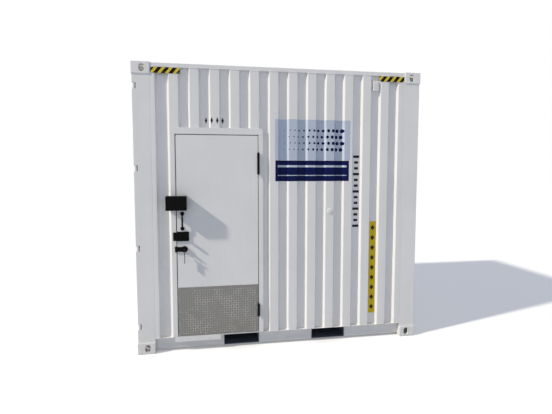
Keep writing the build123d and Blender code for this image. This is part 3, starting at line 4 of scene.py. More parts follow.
import bpy
import numpy as np
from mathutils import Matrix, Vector


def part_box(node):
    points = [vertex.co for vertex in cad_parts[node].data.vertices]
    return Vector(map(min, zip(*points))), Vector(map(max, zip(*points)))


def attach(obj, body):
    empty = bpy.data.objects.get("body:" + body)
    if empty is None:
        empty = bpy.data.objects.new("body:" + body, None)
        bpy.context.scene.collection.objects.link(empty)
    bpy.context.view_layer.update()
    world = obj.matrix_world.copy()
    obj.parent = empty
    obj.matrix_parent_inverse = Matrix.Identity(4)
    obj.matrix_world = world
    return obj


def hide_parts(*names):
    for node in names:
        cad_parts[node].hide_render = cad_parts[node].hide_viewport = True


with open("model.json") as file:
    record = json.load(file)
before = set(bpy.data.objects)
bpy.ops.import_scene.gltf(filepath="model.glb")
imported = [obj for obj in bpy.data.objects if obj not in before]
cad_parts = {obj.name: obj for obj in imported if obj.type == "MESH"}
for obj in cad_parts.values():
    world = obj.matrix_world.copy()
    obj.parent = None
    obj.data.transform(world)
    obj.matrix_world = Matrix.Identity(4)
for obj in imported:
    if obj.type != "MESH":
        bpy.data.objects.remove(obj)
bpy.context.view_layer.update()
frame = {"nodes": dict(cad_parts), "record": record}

scene = bpy.context.scene
nodes = frame["nodes"]
slots = {part["node"]: part["material_slot"] for part in frame["record"]["subparts"]}

# Lengths are in metres, angles in degrees unless said otherwise, and colours in linear light

# Pressed sheets, with the sizes of the CAD model
SHEET = 0.002
BEND = 0.0045
WALL_DEPTH = 0.036
WALL_SLOPE = 0.018
WALL_PITCH = 0.1994
WALL_RECESS = 0.108
WALL_LAST = 1.250
WALL_FIRST = (-1.2725, -1.1428)
WALL_COUNT = 12
END_DEPTH = 0.045
END_SLOPE = 0.018
END_RECESS = 0.140
END_REACH = 0.997
END_COUNT = 8
ROOF_DEPTH = 0.020
ROOF_SLOPE = 0.018
ROOF_RECESS = 0.146
ROOF_REACH = 1.2575
ROOF_COUNT = 12
LEVEL_STEP = 0.09

# Slow wave of rolled sheet: its heights, its radians per metre along and up, and its start
WALL_WAVE = 0.0006
END_WAVE = 0.0008
WAVE_ALONG = 5.1
WAVE_LEAN = 2.3
WAVE_UP = 2.7
WAVE_START = 1.3

# Weld beads: radii, sides, spacing of points, ripple in size and its radians from point to point
SHEET_BEAD = 0.0035
POST_BEAD = 0.0045
BEAD_SIDES = 6
BEAD_STEP = 0.009
BEAD_RIPPLE = 0.14
RIPPLE_TURN = 2.4
STEEP = 0.9

# Heads of screws and bolts, as shares of their radius and height
DOME_REACH = 0.96
DOME_RINGS = 4
BOLT_STEPS = ((1.0, 0.0), (1.0, 0.8), (0.88, 1.0), (0.05, 1.0))

# Softened edges of CAD nodes
WELD_REACH = 0.00005
EDGE_SEGMENTS = 2
EDGE_ANGLE = 40
CASTING_EDGE = 0.003
FRAME_EDGE = 0.0025
DOOR_EDGE = 0.0012


# Mesh helpers: whole arrays of points in, one object out

def grid_faces(rows, columns, close_columns=False):
    """Quads of a grid whose points are numbered row by row; closed columns join last to first."""
    row = np.arange(rows - 1)[:, None]
    column = np.arange(columns if close_columns else columns - 1)[None, :]
    next_column = (column + 1) % columns
    corners = [
        row * columns + column,
        row * columns + next_column,
        (row + 1) * columns + next_column,
        (row + 1) * columns + column,
    ]
    return np.stack(corners, axis=-1).reshape(-1, 4)


def joined(shells):
    """One array of points and one of faces from several shells, each numbered after the last."""
    points = []
    faces = []
    count = 0
    for shell_points, shell_faces in shells:
        points.append(shell_points.reshape(-1, 3))
        faces.append(shell_faces + count)
        count += shell_points.reshape(-1, 3).shape[0]
    return np.concatenate(points), np.concatenate(faces)


def mirrored(points, faces):
    """A shell and its mirror image across the middle plane, whose faces are turned round."""
    return joined([(points, faces), (points * (1, -1, 1), faces[:, ::-1])])


def copies(points, faces, places, turns=None):
    """A shape set at each place, first turned about Y by its angle in radians."""
    shape = points.reshape(1, -1, 3)
    angle = np.zeros(len(places)) if turns is None else np.asarray(turns)
    c = np.cos(angle)[:, None]
    s = np.sin(angle)[:, None]
    x = shape[..., 0] * c + shape[..., 2] * s
    z = shape[..., 2] * c - shape[..., 0] * s
    y = np.broadcast_to(shape[..., 1], x.shape)
    moved = np.stack([x, y, z], axis=-1) + np.asarray(places)[:, None, :]
    count = shape.shape[1]
    shifted = faces[None] + (np.arange(len(places)) * count)[:, None, None]
    return moved.reshape(-1, 3), shifted.reshape(-1, faces.shape[1])


def piece(name, points, faces, body, slot, material=None, smooth=True):
    """One mesh object that rides on a body; without a material of its own it takes its slot's finish."""
    mesh = bpy.data.meshes.new(name)
    mesh.from_pydata(points.reshape(-1, 3).tolist(), [], faces.tolist())
    mesh.polygons.foreach_set("use_smooth", np.full(len(mesh.polygons), smooth))
    mesh.materials.append(material or finishes[slot])
    mesh.update()
    made = bpy.data.objects.new(name, mesh)
    scene.collection.objects.link(made)
    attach(made, body)
    return made


def eased(corners, reach, steps=5):
    """A bent line with each inner corner replaced by a parabola that leaves both runs at reach."""
    corners = np.asarray(corners, dtype=float)
    before, at, after = corners[:-2], corners[1:-1], corners[2:]
    back = (before - at) / np.linalg.norm(before - at, axis=1, keepdims=True)
    on = (after - at) / np.linalg.norm(after - at, axis=1, keepdims=True)
    t = np.linspace(0, 1, steps)[None, :, None]
    start = (at + back * reach)[:, None]
    end = (at + on * reach)[:, None]
    arcs = start * (1 - t) ** 2 + 2 * at[:, None] * t * (1 - t) + end * t ** 2
    return np.concatenate([corners[:1], arcs.reshape(-1, 2), corners[-1:]])


def pressed_line(low, high, recesses, slope, depth):
    """Outer face of a pressed sheet: crests at 0, floors at depth, with eased bends."""
    corners = [(low, 0)]
    for start, end in recesses:
        corners += [(start, 0), (start + slope, depth), (end - slope, depth), (end, 0)]
    corners.append((high, 0))
    return eased(corners, BEND)


def even_recesses(reach, count, recess):
    """Equal recesses between minus reach and plus reach."""
    starts = np.linspace(-reach, reach - recess, count)
    return list(zip(starts, starts + recess))


def clipped(line, low, high):
    """The part of a line between two places along it, with new end points there."""
    inside = line[(line[:, 0] > low) & (line[:, 0] < high)]
    ends = np.interp([low, high], line[:, 0], line[:, 1])
    return np.concatenate([[(low, ends[0])], inside, [(high, ends[1])]])


def swell(along, level, low, high, wave):
    """Slow wave of rolled sheet: sines of place and level that die out at both ends."""
    ends = np.sin(pi * (level - low) / (high - low))
    return wave * ends * np.sin(WAVE_ALONG * along + WAVE_LEAN * level) * np.sin(WAVE_UP * level + WAVE_START)


def sheet_shell(line, levels, wave):
    """Closed shell of an even sheet: the line and its inner offset, carried through the levels.

    Its points are along, inwards and up the sheet. Both faces take the slow wave of rolled sheet.
    """
    tangent = np.gradient(line, axis=0)
    tangent /= np.linalg.norm(tangent, axis=1, keepdims=True)
    inner = line + SHEET * np.stack([-tangent[:, 1], tangent[:, 0]], axis=1)
    loop = np.concatenate([line, inner[::-1]])
    along = np.broadcast_to(loop[None, :, 0], (len(levels), len(loop)))
    level = np.broadcast_to(np.asarray(levels)[:, None], along.shape)
    inward = loop[None, :, 1] + swell(along, level, levels[0], levels[-1], wave)
    grid = np.stack([along, inward, level], axis=-1)
    count = len(line)
    sides = grid_faces(len(levels), 2 * count, close_columns=True)
    first = np.arange(count - 1)
    cap = np.stack([first, first + 1, 2 * count - 2 - first, 2 * count - 1 - first], axis=-1)
    top = cap[:, ::-1] + (len(levels) - 1) * 2 * count
    return grid, np.concatenate([sides, cap, top])


def tube(path, radius, sides, ripple=0.0):
    """Round bead carried along a path: a circle square to the path at each point, rippled in size."""
    path = np.asarray(path, dtype=float)
    tangent = np.gradient(path, axis=0)
    tangent /= np.linalg.norm(tangent, axis=1, keepdims=True)
    guide = np.where(np.abs(tangent[:, 2:3]) > STEEP, [[1.0, 0, 0]], [[0, 0, 1.0]])
    across = np.cross(tangent, guide)
    across /= np.linalg.norm(across, axis=1, keepdims=True)
    up = np.cross(across, tangent)
    angle = np.linspace(0, 2 * pi, sides, endpoint=False)[None, :, None]
    place = np.arange(len(path))[:, None, None]
    size = radius * (1 + ripple * np.sin(RIPPLE_TURN * place))
    points = path[:, None] + size * (np.cos(angle) * across[:, None] + np.sin(angle) * up[:, None])
    return points, grid_faces(len(path), sides, close_columns=True)


def resampled(path, step):
    """The same path with points a step apart, by its running length."""
    path = np.asarray(path, dtype=float)
    length = np.concatenate([[0], np.cumsum(np.linalg.norm(np.diff(path, axis=0), axis=1))])
    places = np.linspace(0, length[-1], max(2, int(length[-1] / step) + 1))
    return np.stack([np.interp(places, length, path[:, axis]) for axis in range(3)], axis=1)


def beads(paths, radius):
    """Weld beads: rippled tubes along several paths."""
    return joined([tube(resampled(path, BEAD_STEP), radius, BEAD_SIDES, BEAD_RIPPLE) for path in paths])


def turned(profile, sides):
    """Form turned about Y: each profile pair is a radius and a height that stands out along -Y."""
    profile = np.asarray(profile, dtype=float)
    angle = np.linspace(0, 2 * pi, sides, endpoint=False)[None, :]
    radius = profile[:, :1]
    height = np.broadcast_to(-profile[:, 1:], (len(profile), sides))
    points = np.stack([radius * np.cos(angle), height, radius * np.sin(angle)], axis=-1)
    return points, grid_faces(len(profile), sides, close_columns=True)


def dome(radius, height, sides=8):
    """Rivet or screw head: most of a quarter of an ellipse turned about Y."""
    angle = np.linspace(0, DOME_REACH * pi / 2, DOME_RINGS)
    return turned(np.stack([radius * np.cos(angle), height * np.sin(angle)], axis=1), sides)


def hexagon(radius, height):
    """Bolt head: six sides with an eased top edge, drawn in to a very small ring."""
    return turned([(radius * wide, height * tall) for wide, tall in BOLT_STEPS], 6)


def to_end(points):
    """A form that stands out along -Y, turned to stand out along -X."""
    return np.stack([points[..., 1], -points[..., 0], points[..., 2]], axis=-1)


def upright(points):
    """A form that stands out along -Y, turned to stand up along Z; this mirrors its faces."""
    return np.stack([points[..., 0], points[..., 2], -points[..., 1]], axis=-1)


def soften(names, width):
    """Rounds the sharp edges of CAD nodes, whose triangles are first welded together."""
    for name in names:
        weld = nodes[name].modifiers.new("weld", "WELD")
        weld.merge_threshold = WELD_REACH
        bevel = nodes[name].modifiers.new("soft_edge", "BEVEL")
        bevel.width = width
        bevel.segments = EDGE_SEGMENTS
        bevel.limit_method = "ANGLE"
        bevel.angle_limit = radians(EDGE_ANGLE)


# Shader helpers: each adds nodes to a tree and gives the socket with the result

def wire(tree, kind, inputs=None, **settings):
    """Adds a shader node, sets its options, and links or sets each input by name or number."""
    made = tree.nodes.new(kind)
    for key, value in settings.items():
        setattr(made, key, value)
    for key, value in (inputs or {}).items():
        if isinstance(value, bpy.types.NodeSocket):
            tree.links.new(value, made.inputs[key])
        else:
            made.inputs[key].default_value = value
    return made


def feed(tree, node, **sockets):
    """Links values to a node's inputs; an underscore in a name stands for a space."""
    for name, value in sockets.items():
        tree.links.new(value, node.inputs[name.replace("_", " ")])


def calc(tree, operation, first, second):
    """One operation on two values, such as their sum or the larger of them."""
    return wire(tree, "ShaderNodeMath", {0: first, 1: second}, operation=operation).outputs[0]


def product(tree, first, second):
    """One value times another."""
    return calc(tree, "MULTIPLY", first, second)


def repeated(tree, value, shift, pitch):
    """Place within each pitch from nought to one: the fraction left of value plus shift over pitch."""
    steps = calc(tree, "DIVIDE", calc(tree, "ADD", value, shift), pitch)
    return calc(tree, "FRACT", steps, 0.0)


def mixed(tree, factor, first, second):
    """The first colour, going over to the second as the factor goes from nought to one."""
    return wire(tree, "ShaderNodeMix", {0: factor, 6: first, 7: second}, data_type="RGBA").outputs[2]


def ranged(tree, value, low, high, to_low=0.0, to_high=1.0):
    """A value between low and high, stretched in a straight line to two other ends and held there."""
    inputs = {"Value": value, "From Min": low, "From Max": high, "To Min": to_low, "To Max": to_high}
    return wire(tree, "ShaderNodeMapRange", inputs).outputs["Result"]


def noise(tree, vector, scale=1.0, detail=2.0, roughness=0.5):
    """Cloudy value from nought to one: scale is clouds per metre, detail the count of finer layers."""
    inputs = {"Vector": vector, "Scale": scale, "Detail": detail, "Roughness": roughness}
    return wire(tree, "ShaderNodeTexNoise", inputs).outputs["Fac"]


def cells(tree, vector, scale):
    """Cells, scale of them per metre: the distance from each cell's middle and its own colour."""
    return wire(tree, "ShaderNodeTexVoronoi", {"Vector": vector, "Scale": scale}).outputs


def scaled(tree, vector, factors):
    """A position multiplied along each axis, which draws a pattern out or presses it together."""
    return wire(tree, "ShaderNodeVectorMath", {0: vector, 1: factors}, operation="MULTIPLY").outputs[0]


def part_of(tree, vector, axis):
    """One of the three numbers of a position or a colour, by the name of its axis."""
    return wire(tree, "ShaderNodeSeparateXYZ", {0: vector}).outputs[axis]


def surroundings(tree):
    """One for rays that show the surroundings: seen, mirrored or through glass; nought for light."""
    ray = wire(tree, "ShaderNodeLightPath").outputs
    indirect = calc(tree, "MAXIMUM", ray["Is Glossy Ray"], ray["Is Transmission Ray"])
    return calc(tree, "MAXIMUM", ray["Is Camera Ray"], indirect)


def group(name, outputs):
    """A shared shader group that takes a position and gives the named values."""
    tree = bpy.data.node_groups.new(name, "ShaderNodeTree")
    tree.interface.new_socket("Position", in_out="INPUT", socket_type="NodeSocketVector")
    for output in outputs:
        tree.interface.new_socket(output, in_out="OUTPUT", socket_type="NodeSocketFloat")
    position = tree.nodes.new("NodeGroupInput").outputs["Position"]
    return tree, position, tree.nodes.new("NodeGroupOutput")


def weather_group():
    """Blotches, rain streaks, splashed dust and orange peel, each a value from nought to one.

    A streak is noise drawn out along Z times the soft areas where it shows. Splash is a power of the
    fade from knee height down to the ground, times a mottle.
    """
    tree, position, out = group("weather", ("Blotch", "Streak", "Splash", "Peel"))
    blotch = noise(tree, position, 2.3, 4.0, 0.6)
    runs = noise(tree, scaled(tree, position, (26.0, 26.0, 0.55)), 1.0, 4.0, 0.65)
    areas = ranged(tree, noise(tree, position, 1.1), 0.42, 0.68)
    streak = product(tree, ranged(tree, runs, 0.52, 0.8), areas)
    fade = ranged(tree, part_of(tree, position, "Z"), 0.55, 0.06)
    mottle = noise(tree, position, 16.0, 5.0, 0.7)
    splash = product(tree, calc(tree, "POWER", fade, 1.6), ranged(tree, mottle, 0.3, 0.72))
    peel = noise(tree, position, 240.0, 1.0)
    feed(tree, out, Blotch=blotch, Streak=streak, Splash=splash, Peel=peel)
    return tree


def rub_group():
    """Wear where a face turns: how far the rounded normal leaves the flat one, broken by noise."""
    tree, position, out = group("edge_rub", ("Rub",))
    rounded = wire(tree, "ShaderNodeBevel", {"Radius": 0.0025}, samples=4).outputs[0]
    flat = wire(tree, "ShaderNodeNewGeometry").outputs["Normal"]
    same = wire(tree, "ShaderNodeVectorMath", {0: rounded, 1: flat}, operation="DOT_PRODUCT")
    turn = ranged(tree, same.outputs["Value"], 0.985, 0.86)
    broken = ranged(tree, noise(tree, position, 70.0, 4.0, 0.7), 0.46, 0.62)
    feed(tree, out, Rub=product(tree, turn, broken))
    return tree


WEATHER = weather_group()
RUB = rub_group()


def started(name):
    """A new material with its node tree, its shader and its object coordinates."""
    material = bpy.data.materials.new(name)
    material.use_nodes = True
    tree = material.node_tree
    shader = tree.nodes["Principled BSDF"]
    return material, tree, shader, wire(tree, "ShaderNodeTexCoord").outputs["Object"]


def grouped(tree, shared, position):
    """The values that a shared group gives at a position."""
    return wire(tree, "ShaderNodeGroup", {"Position": position}, node_tree=shared).outputs


def bumped(tree, shader, height, distance, strength):
    """Fine relief in the shading: a height from nought to one stands for a distance in metres."""
    inputs = {"Height": height, "Distance": distance, "Strength": strength}
    feed(tree, shader, Normal=wire(tree, "ShaderNodeBump", inputs).outputs["Normal"])


def shade(colour, factor):
    """A colour multiplied by a factor and held at one."""
    return tuple(min(1.0, channel * factor) for channel in colour[:3]) + (1.0,)


# Colours of the finishes

WHITE = (0.825, 0.815, 0.80, 1)
UNDERSIDE = (0.075, 0.092, 0.130, 1)
BARE_STEEL = (0.33, 0.32, 0.31, 1)
RAIN_DIRT = (0.33, 0.31, 0.28, 1)
DRY_DUST = (0.42, 0.37, 0.30, 1)
YELLOW_DEEP = (0.72, 0.53, 0.045, 1)
YELLOW_PALE = (0.82, 0.62, 0.07, 1)
STRIPE_BLACK = (0.006, 0.006, 0.006, 1)
SCUFFED_METAL = (0.45, 0.44, 0.42, 1)
COATING_BLACK = (0.0034, 0.0034, 0.0036, 1)
COATING_RUBBED = (0.20, 0.20, 0.20, 1)
ZINC_DARK = (0.29, 0.30, 0.31, 1)
ZINC_PALE = (0.42, 0.43, 0.44, 1)
ZINC_BLOOM = (0.48, 0.48, 0.47, 1)
PLATE_DARK = (0.168, 0.168, 0.162, 1)
PLATE_PALE = (0.226, 0.226, 0.218, 1)
PLATE_DULL = (0.187, 0.187, 0.180, 1)
# The pale plate colour below is a painted highlight, for glints on raised tops
PLATE_GLINT = (0.56, 0.56, 0.55, 1)
PLATE_DIRT = (0.14, 0.125, 0.105, 1)
RUBBER_BLACK = (0.018, 0.018, 0.019, 1)
RUBBER_BLOOM = (0.055, 0.054, 0.052, 1)
TAG_BLACK = (0.02, 0.02, 0.023, 1)
VINYL_DARK = (0.20, 0.205, 0.21, 1)
VINYL_PALE = (0.27, 0.27, 0.275, 1)
VINYL_FLECK = (0.44, 0.44, 0.43, 1)
LINING_DARK = (0.70, 0.70, 0.68, 1)
LINING_PALE = (0.77, 0.77, 0.755, 1)
LINING_JOINT = (0.38, 0.38, 0.37, 1)
GLAZE_WHITE = (0.80, 0.80, 0.785, 1)
SEAT_WHITE = (0.78, 0.78, 0.765, 1)
CHROME = (0.72, 0.72, 0.73, 1)
SILVER = (0.82, 0.84, 0.84, 1)
LAMP_WHITE = (0.82, 0.82, 0.79, 1)

# Leaning stripes and joints of the lining: pitch, start, run along X for each metre up, yellow share
STRIPE_PITCH = 0.0726
STRIPE_SHIFT = 10.0129
STRIPE_LEAN = 0.8
STRIPE_YELLOW = 0.45
LINING_PITCH = 0.92
LINING_SHIFT = 10.0
LINING_GAP = 0.004


def paint(name, colour, roughness=0.36, streaks=0.10, dust=0.22, rub=0.25):
    """Sprayed paint: orange peel, blotches, faint rain streaks, dust at the foot and rubbed edges.

    Streaks, dust and rub are the shares at which dirt or bare steel covers the paint.
    """
    material, tree, shader, position = started(name)
    marks = grouped(tree, WEATHER, position)
    blotch = ranged(tree, marks["Blotch"], 0.3, 0.7)
    body = mixed(tree, blotch, shade(colour, 0.965), shade(colour, 1.02))
    run = mixed(tree, product(tree, marks["Streak"], streaks), body, RAIN_DIRT)
    dusty = mixed(tree, product(tree, marks["Splash"], dust), run, DRY_DUST)
    worn = product(tree, grouped(tree, RUB, position)["Rub"], rub)
    gloss = ranged(tree, marks["Blotch"], 0.25, 0.75, roughness - 0.06, roughness + 0.07)
    rough = calc(tree, "ADD", gloss, product(tree, marks["Splash"], 0.25))
    feed(tree, shader, Base_Color=mixed(tree, worn, dusty, BARE_STEEL), Roughness=rough)
    bumped(tree, shader, marks["Peel"], 0.00022, 0.35)
    return material


def hazard_paint():
    """Black and yellow bars that lean to the right, with scuffs through to the metal.

    A place is black where its fraction of the pitch, along X less a share of Z, passes the yellow.
    """
    material, tree, shader, position = started("hazard_plate")
    rise = product(tree, part_of(tree, position, "Z"), STRIPE_LEAN)
    along = calc(tree, "SUBTRACT", part_of(tree, position, "X"), rise)
    phase = repeated(tree, along, STRIPE_SHIFT, STRIPE_PITCH)
    dark = calc(tree, "GREATER_THAN", phase, STRIPE_YELLOW)
    marks = grouped(tree, WEATHER, position)
    yellow = mixed(tree, marks["Blotch"], YELLOW_DEEP, YELLOW_PALE)
    striped = mixed(tree, dark, yellow, STRIPE_BLACK)
    scratch = noise(tree, scaled(tree, position, (40.0, 40.0, 160.0)), 1.0, 5.0, 0.75)
    scuff = product(tree, ranged(tree, scratch, 0.66, 0.74), 0.4)
    rough = ranged(tree, marks["Blotch"], 0.2, 0.8, 0.34, 0.52)
    feed(tree, shader, Base_Color=mixed(tree, scuff, striped, SCUFFED_METAL), Roughness=rough)
    shader.inputs["Specular IOR Level"].default_value = 0.08
    bumped(tree, shader, marks["Peel"], 0.0002, 0.3)
    return material


def black_coat(name, colour, roughness):
    """Textured black coating: fine pebble grain, rubbed bright on its edges, blotched in gloss."""
    material, tree, shader, position = started(name)
    marks = grouped(tree, WEATHER, position)
    body = mixed(tree, marks["Blotch"], shade(colour, 0.75), shade(colour, 1.35))
    worn = product(tree, grouped(tree, RUB, position)["Rub"], 0.35)
    rough = ranged(tree, marks["Blotch"], 0.25, 0.75, roughness - 0.08, roughness + 0.1)
    feed(tree, shader, Base_Color=mixed(tree, worn, body, COATING_RUBBED), Roughness=rough)
    shader.inputs["Specular IOR Level"].default_value = 0.05
    bumped(tree, shader, noise(tree, position, 900.0), 0.00012, 0.5)
    return material


def zinc_coat():
    """Hot-dip zinc: spangles of differing grey, dull white bloom and soft runs."""
    material, tree, shader, position = started("zinc")
    spangle = part_of(tree, cells(tree, position, 75.0)["Color"], "X")
    marks = grouped(tree, WEATHER, position)
    body = mixed(tree, spangle, ZINC_DARK, ZINC_PALE)
    bloom = ranged(tree, marks["Blotch"], 0.5, 0.8, 0.0, 0.5)
    rough = ranged(tree, spangle, 0.0, 1.0, 0.38, 0.56)
    feed(tree, shader, Base_Color=mixed(tree, bloom, body, ZINC_BLOOM), Roughness=rough)
    shader.inputs["Metallic"].default_value = 0.85
    bumped(tree, shader, noise(tree, position, 60.0, 3.0), 0.0004, 0.25)
    return material


def plate_metal(name, bright):
    """Mill aluminium: fine rolled grain along X, dull bloom and darker foot scuffs low down.

    The bright share lightens patches with a painted highlight that stands for glints on the tops of raised
    marks.
    """
    material, tree, shader, position = started(name)
    grain = noise(tree, scaled(tree, position, (8.0, 8.0, 420.0)), 1.0, 3.0, 0.6)
    marks = grouped(tree, WEATHER, position)
    body = mixed(tree, grain, PLATE_DARK, PLATE_PALE)
    dull = mixed(tree, ranged(tree, marks["Blotch"], 0.35, 0.75, 0.0, 0.6), body, PLATE_DULL)
    # Painted highlight: patches lightened by the bright share to stand for glints on raised tops
    rubbed = ranged(tree, noise(tree, position, 7.0, 4.0, 0.65), 0.44, 0.64, 0.18 * bright, bright)
    lit = mixed(tree, rubbed, dull, PLATE_GLINT)
    dirty = mixed(tree, product(tree, marks["Splash"], 0.30), lit, PLATE_DIRT)
    feed(tree, shader, Base_Color=dirty, Roughness=ranged(tree, grain, 0.2, 0.8, 0.40, 0.58))
    shader.inputs["Metallic"].default_value = 0.75
    bumped(tree, shader, grain, 0.0001, 0.3)
    return material


def rubber():
    """Extruded rubber: matt black with chalky bloom and a fine skin."""
    material, tree, shader, position = started("black_rubber")
    bloom = ranged(tree, noise(tree, position, 30.0, 5.0, 0.7), 0.45, 0.8)
    colour = mixed(tree, bloom, RUBBER_BLACK, RUBBER_BLOOM)
    feed(tree, shader, Base_Color=colour, Roughness=ranged(tree, bloom, 0.0, 1.0, 0.62, 0.85))
    bumped(tree, shader, noise(tree, position, 700.0), 0.0001, 0.4)
    return material


def moulded(name, colour, roughness, grain=500.0, coat=0.0):
    """Moulded plastic or glaze: faint mottling, a fine skin and handling marks in the gloss."""
    material, tree, shader, position = started(name)
    mottle = noise(tree, position, 9.0, 4.0, 0.6)
    body = mixed(tree, mottle, shade(colour, 0.95), shade(colour, 1.03))
    smear = noise(tree, scaled(tree, position, (30.0, 30.0, 9.0)), 1.0, 4.0, 0.7)
    rough = ranged(tree, smear, 0.3, 0.75, roughness * 0.8, roughness * 1.5)
    feed(tree, shader, Base_Color=body, Roughness=rough)
    shader.inputs["Coat Weight"].default_value = coat
    shader.inputs["Coat Roughness"].default_value = 0.06
    bumped(tree, shader, noise(tree, position, grain), 0.00008, 0.3)
    return material


def deck_vinyl():
    """Sheet vinyl: grey with pale flecks in the middle of its cells and dull tracks from feet."""
    material, tree, shader, position = started("deck_ply")
    specks = cells(tree, position, 210.0)
    pick = part_of(tree, specks["Color"], "X")
    fleck = product(tree, calc(tree, "LESS_THAN", specks["Distance"], 0.32), pick)
    track = noise(tree, position, 3.5, 5.0, 0.65)
    body = mixed(tree, track, VINYL_DARK, VINYL_PALE)
    rough = ranged(tree, track, 0.3, 0.7, 0.42, 0.62)
    feed(tree, shader, Base_Color=mixed(tree, fleck, body, VINYL_FLECK), Roughness=rough)
    bumped(tree, shader, noise(tree, position, 400.0), 0.0001, 0.4)
    return material


def lining_skin():
    """Coated panel skin: pale, with a butt joint line each panel width and a faint emboss."""
    material, tree, shader, position = started("lining_board")
    phase = repeated(tree, part_of(tree, position, "X"), LINING_SHIFT, LINING_PITCH)
    joint = product(tree, calc(tree, "LESS_THAN", phase, LINING_GAP), 0.6)
    mottle = noise(tree, position, 4.0, 4.0, 0.6)
    body = mixed(tree, mottle, LINING_DARK, LINING_PALE)
    rough = ranged(tree, mottle, 0.3, 0.7, 0.40, 0.55)
    feed(tree, shader, Base_Color=mixed(tree, joint, body, LINING_JOINT), Roughness=rough)
    bumped(tree, shader, noise(tree, position, 160.0, 3.0), 0.00025, 0.35)
    return material


def polished(name, colour, roughness):
    """Plated or silvered metal: wipe marks and water spots in the gloss."""
    material, tree, shader, position = started(name)
    wipe = noise(tree, scaled(tree, position, (12.0, 12.0, 45.0)), 1.0, 4.0, 0.7)
    drops = calc(tree, "LESS_THAN", cells(tree, position, 140.0)["Distance"], 0.18)
    spot = product(tree, drops, ranged(tree, wipe, 0.5, 0.7))
    body = mixed(tree, wipe, shade(colour, 0.93), shade(colour, 1.03))
    gloss = ranged(tree, wipe, 0.35, 0.75, roughness * 0.6, roughness * 1.8)
    rough = calc(tree, "ADD", gloss, product(tree, spot, 0.12))
    feed(tree, shader, Base_Color=body, Roughness=rough)
    shader.inputs["Metallic"].default_value = 1.0
    return material


finishes = {
    "white_paint": paint("white_paint", WHITE),
    "under_paint": paint("under_paint", UNDERSIDE, roughness=0.5, streaks=0.05, dust=0.10, rub=0.1),
    "hazard_plate": hazard_paint(),
    "black_paint": black_coat("black_paint", COATING_BLACK, roughness=0.42),
    "zinc": zinc_coat(),
    "checker_plate": plate_metal("checker_plate", bright=0.0),
    "black_rubber": rubber(),
    "tag_plastic": moulded("tag_plastic", TAG_BLACK, roughness=0.4),
    "deck_ply": deck_vinyl(),
    "lining_board": lining_skin(),
    "sanitary_ware": moulded("sanitary_ware", GLAZE_WHITE, roughness=0.16, grain=60.0, coat=0.6),
    "seat_plastic": moulded("seat_plastic", SEAT_WHITE, roughness=0.24),
    "bright_metal": polished("bright_metal", CHROME, roughness=0.10),
    "mirror_face": polished("mirror_face", SILVER, roughness=0.02),
    "lamp_cover": moulded("lamp_cover", LAMP_WHITE, roughness=0.5),
}
for name, node in nodes.items():
    node.data.materials.clear()
    node.data.materials.append(finishes[slots[name]])


# Pressed sheets with rounded bends stand for the plain CAD sheets

front_low, front_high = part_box("front_wall")
frame_low, frame_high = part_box("door_frame")
rear_low, rear_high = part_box("rear_wall")
end_low, end_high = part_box("end_wall")
roof_low, roof_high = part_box("roof_panel")


def on_front(points):
    """Sheet points to the door side: along X, inwards Y, up Z."""
    return np.stack([points[..., 0], front_low.y + points[..., 1], points[..., 2]], axis=-1)


def on_rear(points):
    """Sheet points to the rear: along X, inwards -Y, up Z; this mirrors their faces."""
    return np.stack([points[..., 0], rear_high.y - points[..., 1], points[..., 2]], axis=-1)


def on_end(points):
    """Sheet points to the blind end: along Y, inwards -X, up Z."""
    return np.stack([end_high.x - points[..., 1], points[..., 0], points[..., 2]], axis=-1)


def on_roof(points):
    """Sheet points to the roof: along X, inwards -Z, up the sheet Y."""
    return np.stack([points[..., 0], points[..., 2], roof_high.z - points[..., 1]], axis=-1)


def sheet_piece(name, points, faces):
    """A pressed sheet in place of a CAD node, with normals that keep its flats flat."""
    made = piece(name + "_sheet", points, faces, "container", "white_paint")
    made.modifiers.new("flat_faces", "WEIGHTED_NORMAL")
    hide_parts(name)


def side_levels(low, high):
    """Even levels from low to high, about a step apart and at least three."""
    return np.linspace(low, high, max(3, int((high - low) / LEVEL_STEP)))


wall_starts = WALL_LAST - WALL_PITCH * np.arange(WALL_COUNT)[::-1] - WALL_RECESS
wall_recesses = [WALL_FIRST] + list(zip(wall_starts, wall_starts + WALL_RECESS))
wall_line = pressed_line(front_low.x, front_high.x, wall_recesses, WALL_SLOPE, WALL_DEPTH)
end_recesses = even_recesses(END_REACH, END_COUNT, END_RECESS)
end_line = pressed_line(end_low.y, end_high.y, end_recesses, END_SLOPE, END_DEPTH)
roof_recesses = even_recesses(ROOF_REACH, ROOF_COUNT, ROOF_RECESS)
roof_line = pressed_line(roof_low.x, roof_high.x, roof_recesses, ROOF_SLOPE, ROOF_DEPTH)

# The door side is in three parts: left of the door, above it and right of it
front_spans = (
    (front_low.x, frame_low.x, front_low.z),
    (frame_low.x, frame_high.x, frame_high.z),
    (frame_high.x, front_high.x, front_low.z),
)
front_shells = []
for low, high, foot in front_spans:
    grid, faces = sheet_shell(clipped(wall_line, low, high), side_levels(foot, front_high.z), WALL_WAVE)
    front_shells.append((on_front(grid), faces))
sheet_piece("front_wall", *joined(front_shells))

grid, faces = sheet_shell(wall_line, side_levels(rear_low.z, rear_high.z), WALL_WAVE)
sheet_piece("rear_wall", on_rear(grid), faces[:, ::-1])

grid, faces = sheet_shell(end_line, side_levels(end_low.z, end_high.z), END_WAVE)
sheet_piece("end_wall", on_end(grid), faces)

grid, faces = sheet_shell(roof_line, side_levels(roof_low.y, roof_high.y), END_WAVE)
sheet_piece("roof_panel", on_roof(grid), faces)


# Welds where the sheets meet the rails, and where posts meet castings

DOOR_POST_DEPTH = 0.061
BLIND_POST_DEPTH = 0.154


def line_path(line, level):
    """A sheet's line at one level, as points along, inwards and up the sheet."""
    return np.stack([line[:, 0], line[:, 1], np.full(len(line), level)], axis=1)


